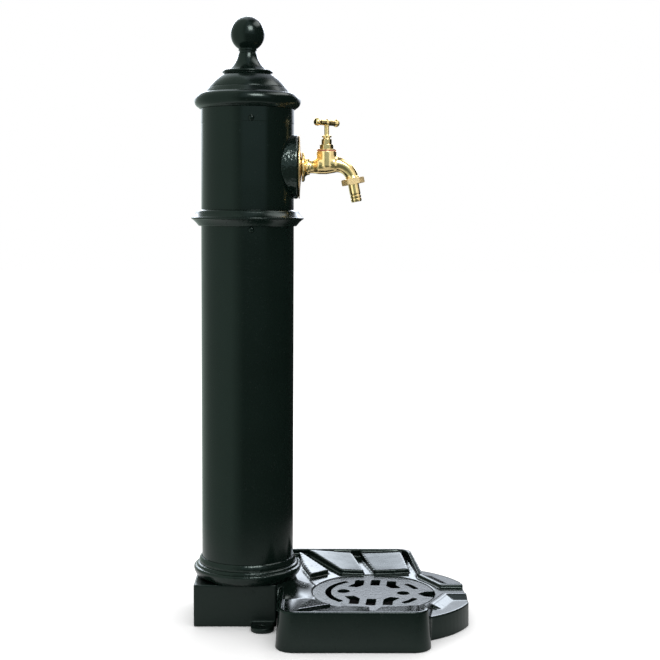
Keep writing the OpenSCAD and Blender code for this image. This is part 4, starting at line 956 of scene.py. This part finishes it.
# The hose connector: a union nut, sawn from hexagon bar and left matt, and a turned hose tail with
# three barbs. The nut screws the tail's flange to the spout, on a washer.
nut_joint = next(j for j in frame["record"]["behaviour"]["joints"] if j["name"] == "nut_turn")
outlet_axis = Vector(nut_joint["axis"]).normalized()
spout_tilt = math.atan2(outlet_axis.x, -outlet_axis.z)
outlet_stand = Matrix.Translation(Vector(nut_joint["pos_m"])) @ Matrix.Rotation(-spout_tilt, 4, "Y")
nut_hex = 17.4 * mm
nut_h = 8.7 * mm
nut_bore = 8.35 * mm
nut_mouth_r = 11.2 * mm
nut_floor = nut_h - 1.2 * mm
nut_outline = [(nut_bore, 0), (nut_hex - cut_r, 0), (nut_hex, cut_h), (nut_hex, nut_h - cut_h)]
nut_outline += [(nut_hex - cut_r, nut_h), (nut_mouth_r, nut_h)]
nut_outline += [(nut_mouth_r, nut_floor), (nut_bore, nut_floor)]
nut_mesh = turned(rounded(nut_outline, 0.35 * mm), outlet_stand, 180, hexagonal(nut_hex))
satin = brass("satin_brass", (0.80, 0.62, 0.34, 1), (0.68, 0.50, 0.27, 1), 0.58, 0.03)
piece("union_nut", nut_mesh, satin, "coupling_nut", "satin_brass", "union_nut")

hose_r = 8.0 * mm
hose_bore = 5.75 * mm
hose_len = 26 * mm
hose_neck_r = hose_r + 0.3 * mm
hose_flange_r = 12.6 * mm
hose_neck_h = 1.7 * mm
hose_top = 3.5 * mm
barb_pitch = 4.8 * mm
barb_depth = 0.9 * mm
hose_outline = [(hose_bore, -hose_len)]
for k in range(3):
    barb_foot = -hose_len + k * barb_pitch
    hose_outline += [(hose_r - barb_depth, barb_foot), (hose_r, barb_foot + 0.6 * barb_pitch)]
    hose_outline += [(hose_r, barb_foot + barb_pitch)]
hose_outline += [(hose_r, 0), (hose_neck_r, 0.1 * mm), (hose_neck_r, hose_neck_h)]
hose_outline += [(hose_flange_r, hose_neck_h + 0.05 * mm), (hose_flange_r, hose_top), (hose_bore, hose_top)]
hose_mesh = turned(rounded(hose_outline, 0.25 * mm), outlet_stand, 128)
piece("hose_tail", hose_mesh, polished, "hose_coupling", "polished_brass", "hose_tail")

# The basin: one casting with drafted walls, a dished bed with raised pads, and a round lip with a
# channel. It is painted in a thick high gloss that softens its edges. Two bolts hold it to the block.
basin_mesh = casting("basin", 1.2 * mm, 6)
basin_finish = enamel("basin_paint", gloss=0.14, grain=0.012, lumps=220, ior=1.4, peel=0.01, waves=0.3)
piece("basin", basin_mesh, basin_finish, "standpipe", "basin_casting", "basin")

# The grate: a slotted disc, cast with a slight dome and painted over its coarse grain. It lies loose in
# the basin's seat.
grate_mesh = casting("grate", 0.85 * mm, 4)
grate_low, grate_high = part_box("grate")
grate_x = (grate_low.x + grate_high.x) / 2
grate_dome = 0.6 * mm
for vertex in grate_mesh.vertices:
    vertex.co.z -= grate_dome * (math.hypot(vertex.co.x - grate_x, vertex.co.y) / grate_high.y) ** 2
grate_finish = enamel("grate_paint", gloss=0.24, grain=0.24, lumps=170, ior=1.3)
piece("grate", grate_mesh, grate_finish, "drain_grate", "basin_casting", "grate")

# Below the grate: a black disc on the floor, painted shade that the slots show in place of the shaded well
# under them.
# It is part of the studio's floor, and no piece of the standpipe.
shade_disc_r = 85.5 * mm
shade_disc_stand = Matrix.Translation((grate_x, 0, -0.5 * floor_drop))
shade_disc_shape = bmesh.new()
bmesh.ops.create_circle(shade_disc_shape, cap_ends=True, segments=64, radius=shade_disc_r, matrix=shade_disc_stand)
shade_disc_finish, shade_disc_tree, shade_disc_shader = new_finish("drain_pit")
# Near black: painted shade for the well below the grate, not a drain
feed(shade_disc_tree, shade_disc_shader, {"Base Color": (0.01, 0.01, 0.01, 1), "Roughness": 0.9})
drain_pit = shown("drain_pit", plain_mesh(shade_disc_shape, "drain_pit"), shade_disc_finish)

# Pieces inside the column and the tap, which keep their CAD shapes: bolts, a stud and a pipe of zinc
# plated steel, brass fittings, the white packing of the gland, and rubber washers.


def plain(name, dark, light, gloss, metal, lumps):
    """A simple finish with fine grain between two colours."""
    finish, tree, shader = new_finish(name)
    grain = speckle(tree, own_place(tree), lumps, 4.0, 0.6)
    feed(tree, shader, {
        "Base Color": blend(tree, grain, dark, light),
        "Roughness": ramp(tree, grain, 0.3, 0.7, gloss * 0.85, gloss * 1.2),
        "Metallic": metal})
    return finish


zinc = plain("zinc_steel", (0.36, 0.37, 0.38, 1), (0.62, 0.63, 0.65, 1), 0.35, 1.0, 160)
packing = plain("white_packing", (0.55, 0.54, 0.50, 1), (0.80, 0.79, 0.75, 1), 0.8, 0.0, 900)
rubber = plain("black_rubber", (0.012, 0.012, 0.012, 1), (0.03, 0.03, 0.03, 1), 0.7, 0.0, 700)
inner_finish = {
    "base_bolts": zinc, "finial_stud": zinc, "riser_pipe": zinc, "basin_bolts": zinc,
    "supply_elbow": satin, "inlet_socket": satin, "jumper_valve": polished, "jumper_nut": polished,
    "gland_packing": packing, "valve_washer": rubber, "hose_washer": rubber}
for node, finish in inner_finish.items():
    for slot in frame["nodes"][node].material_slots:
        slot.material = finish
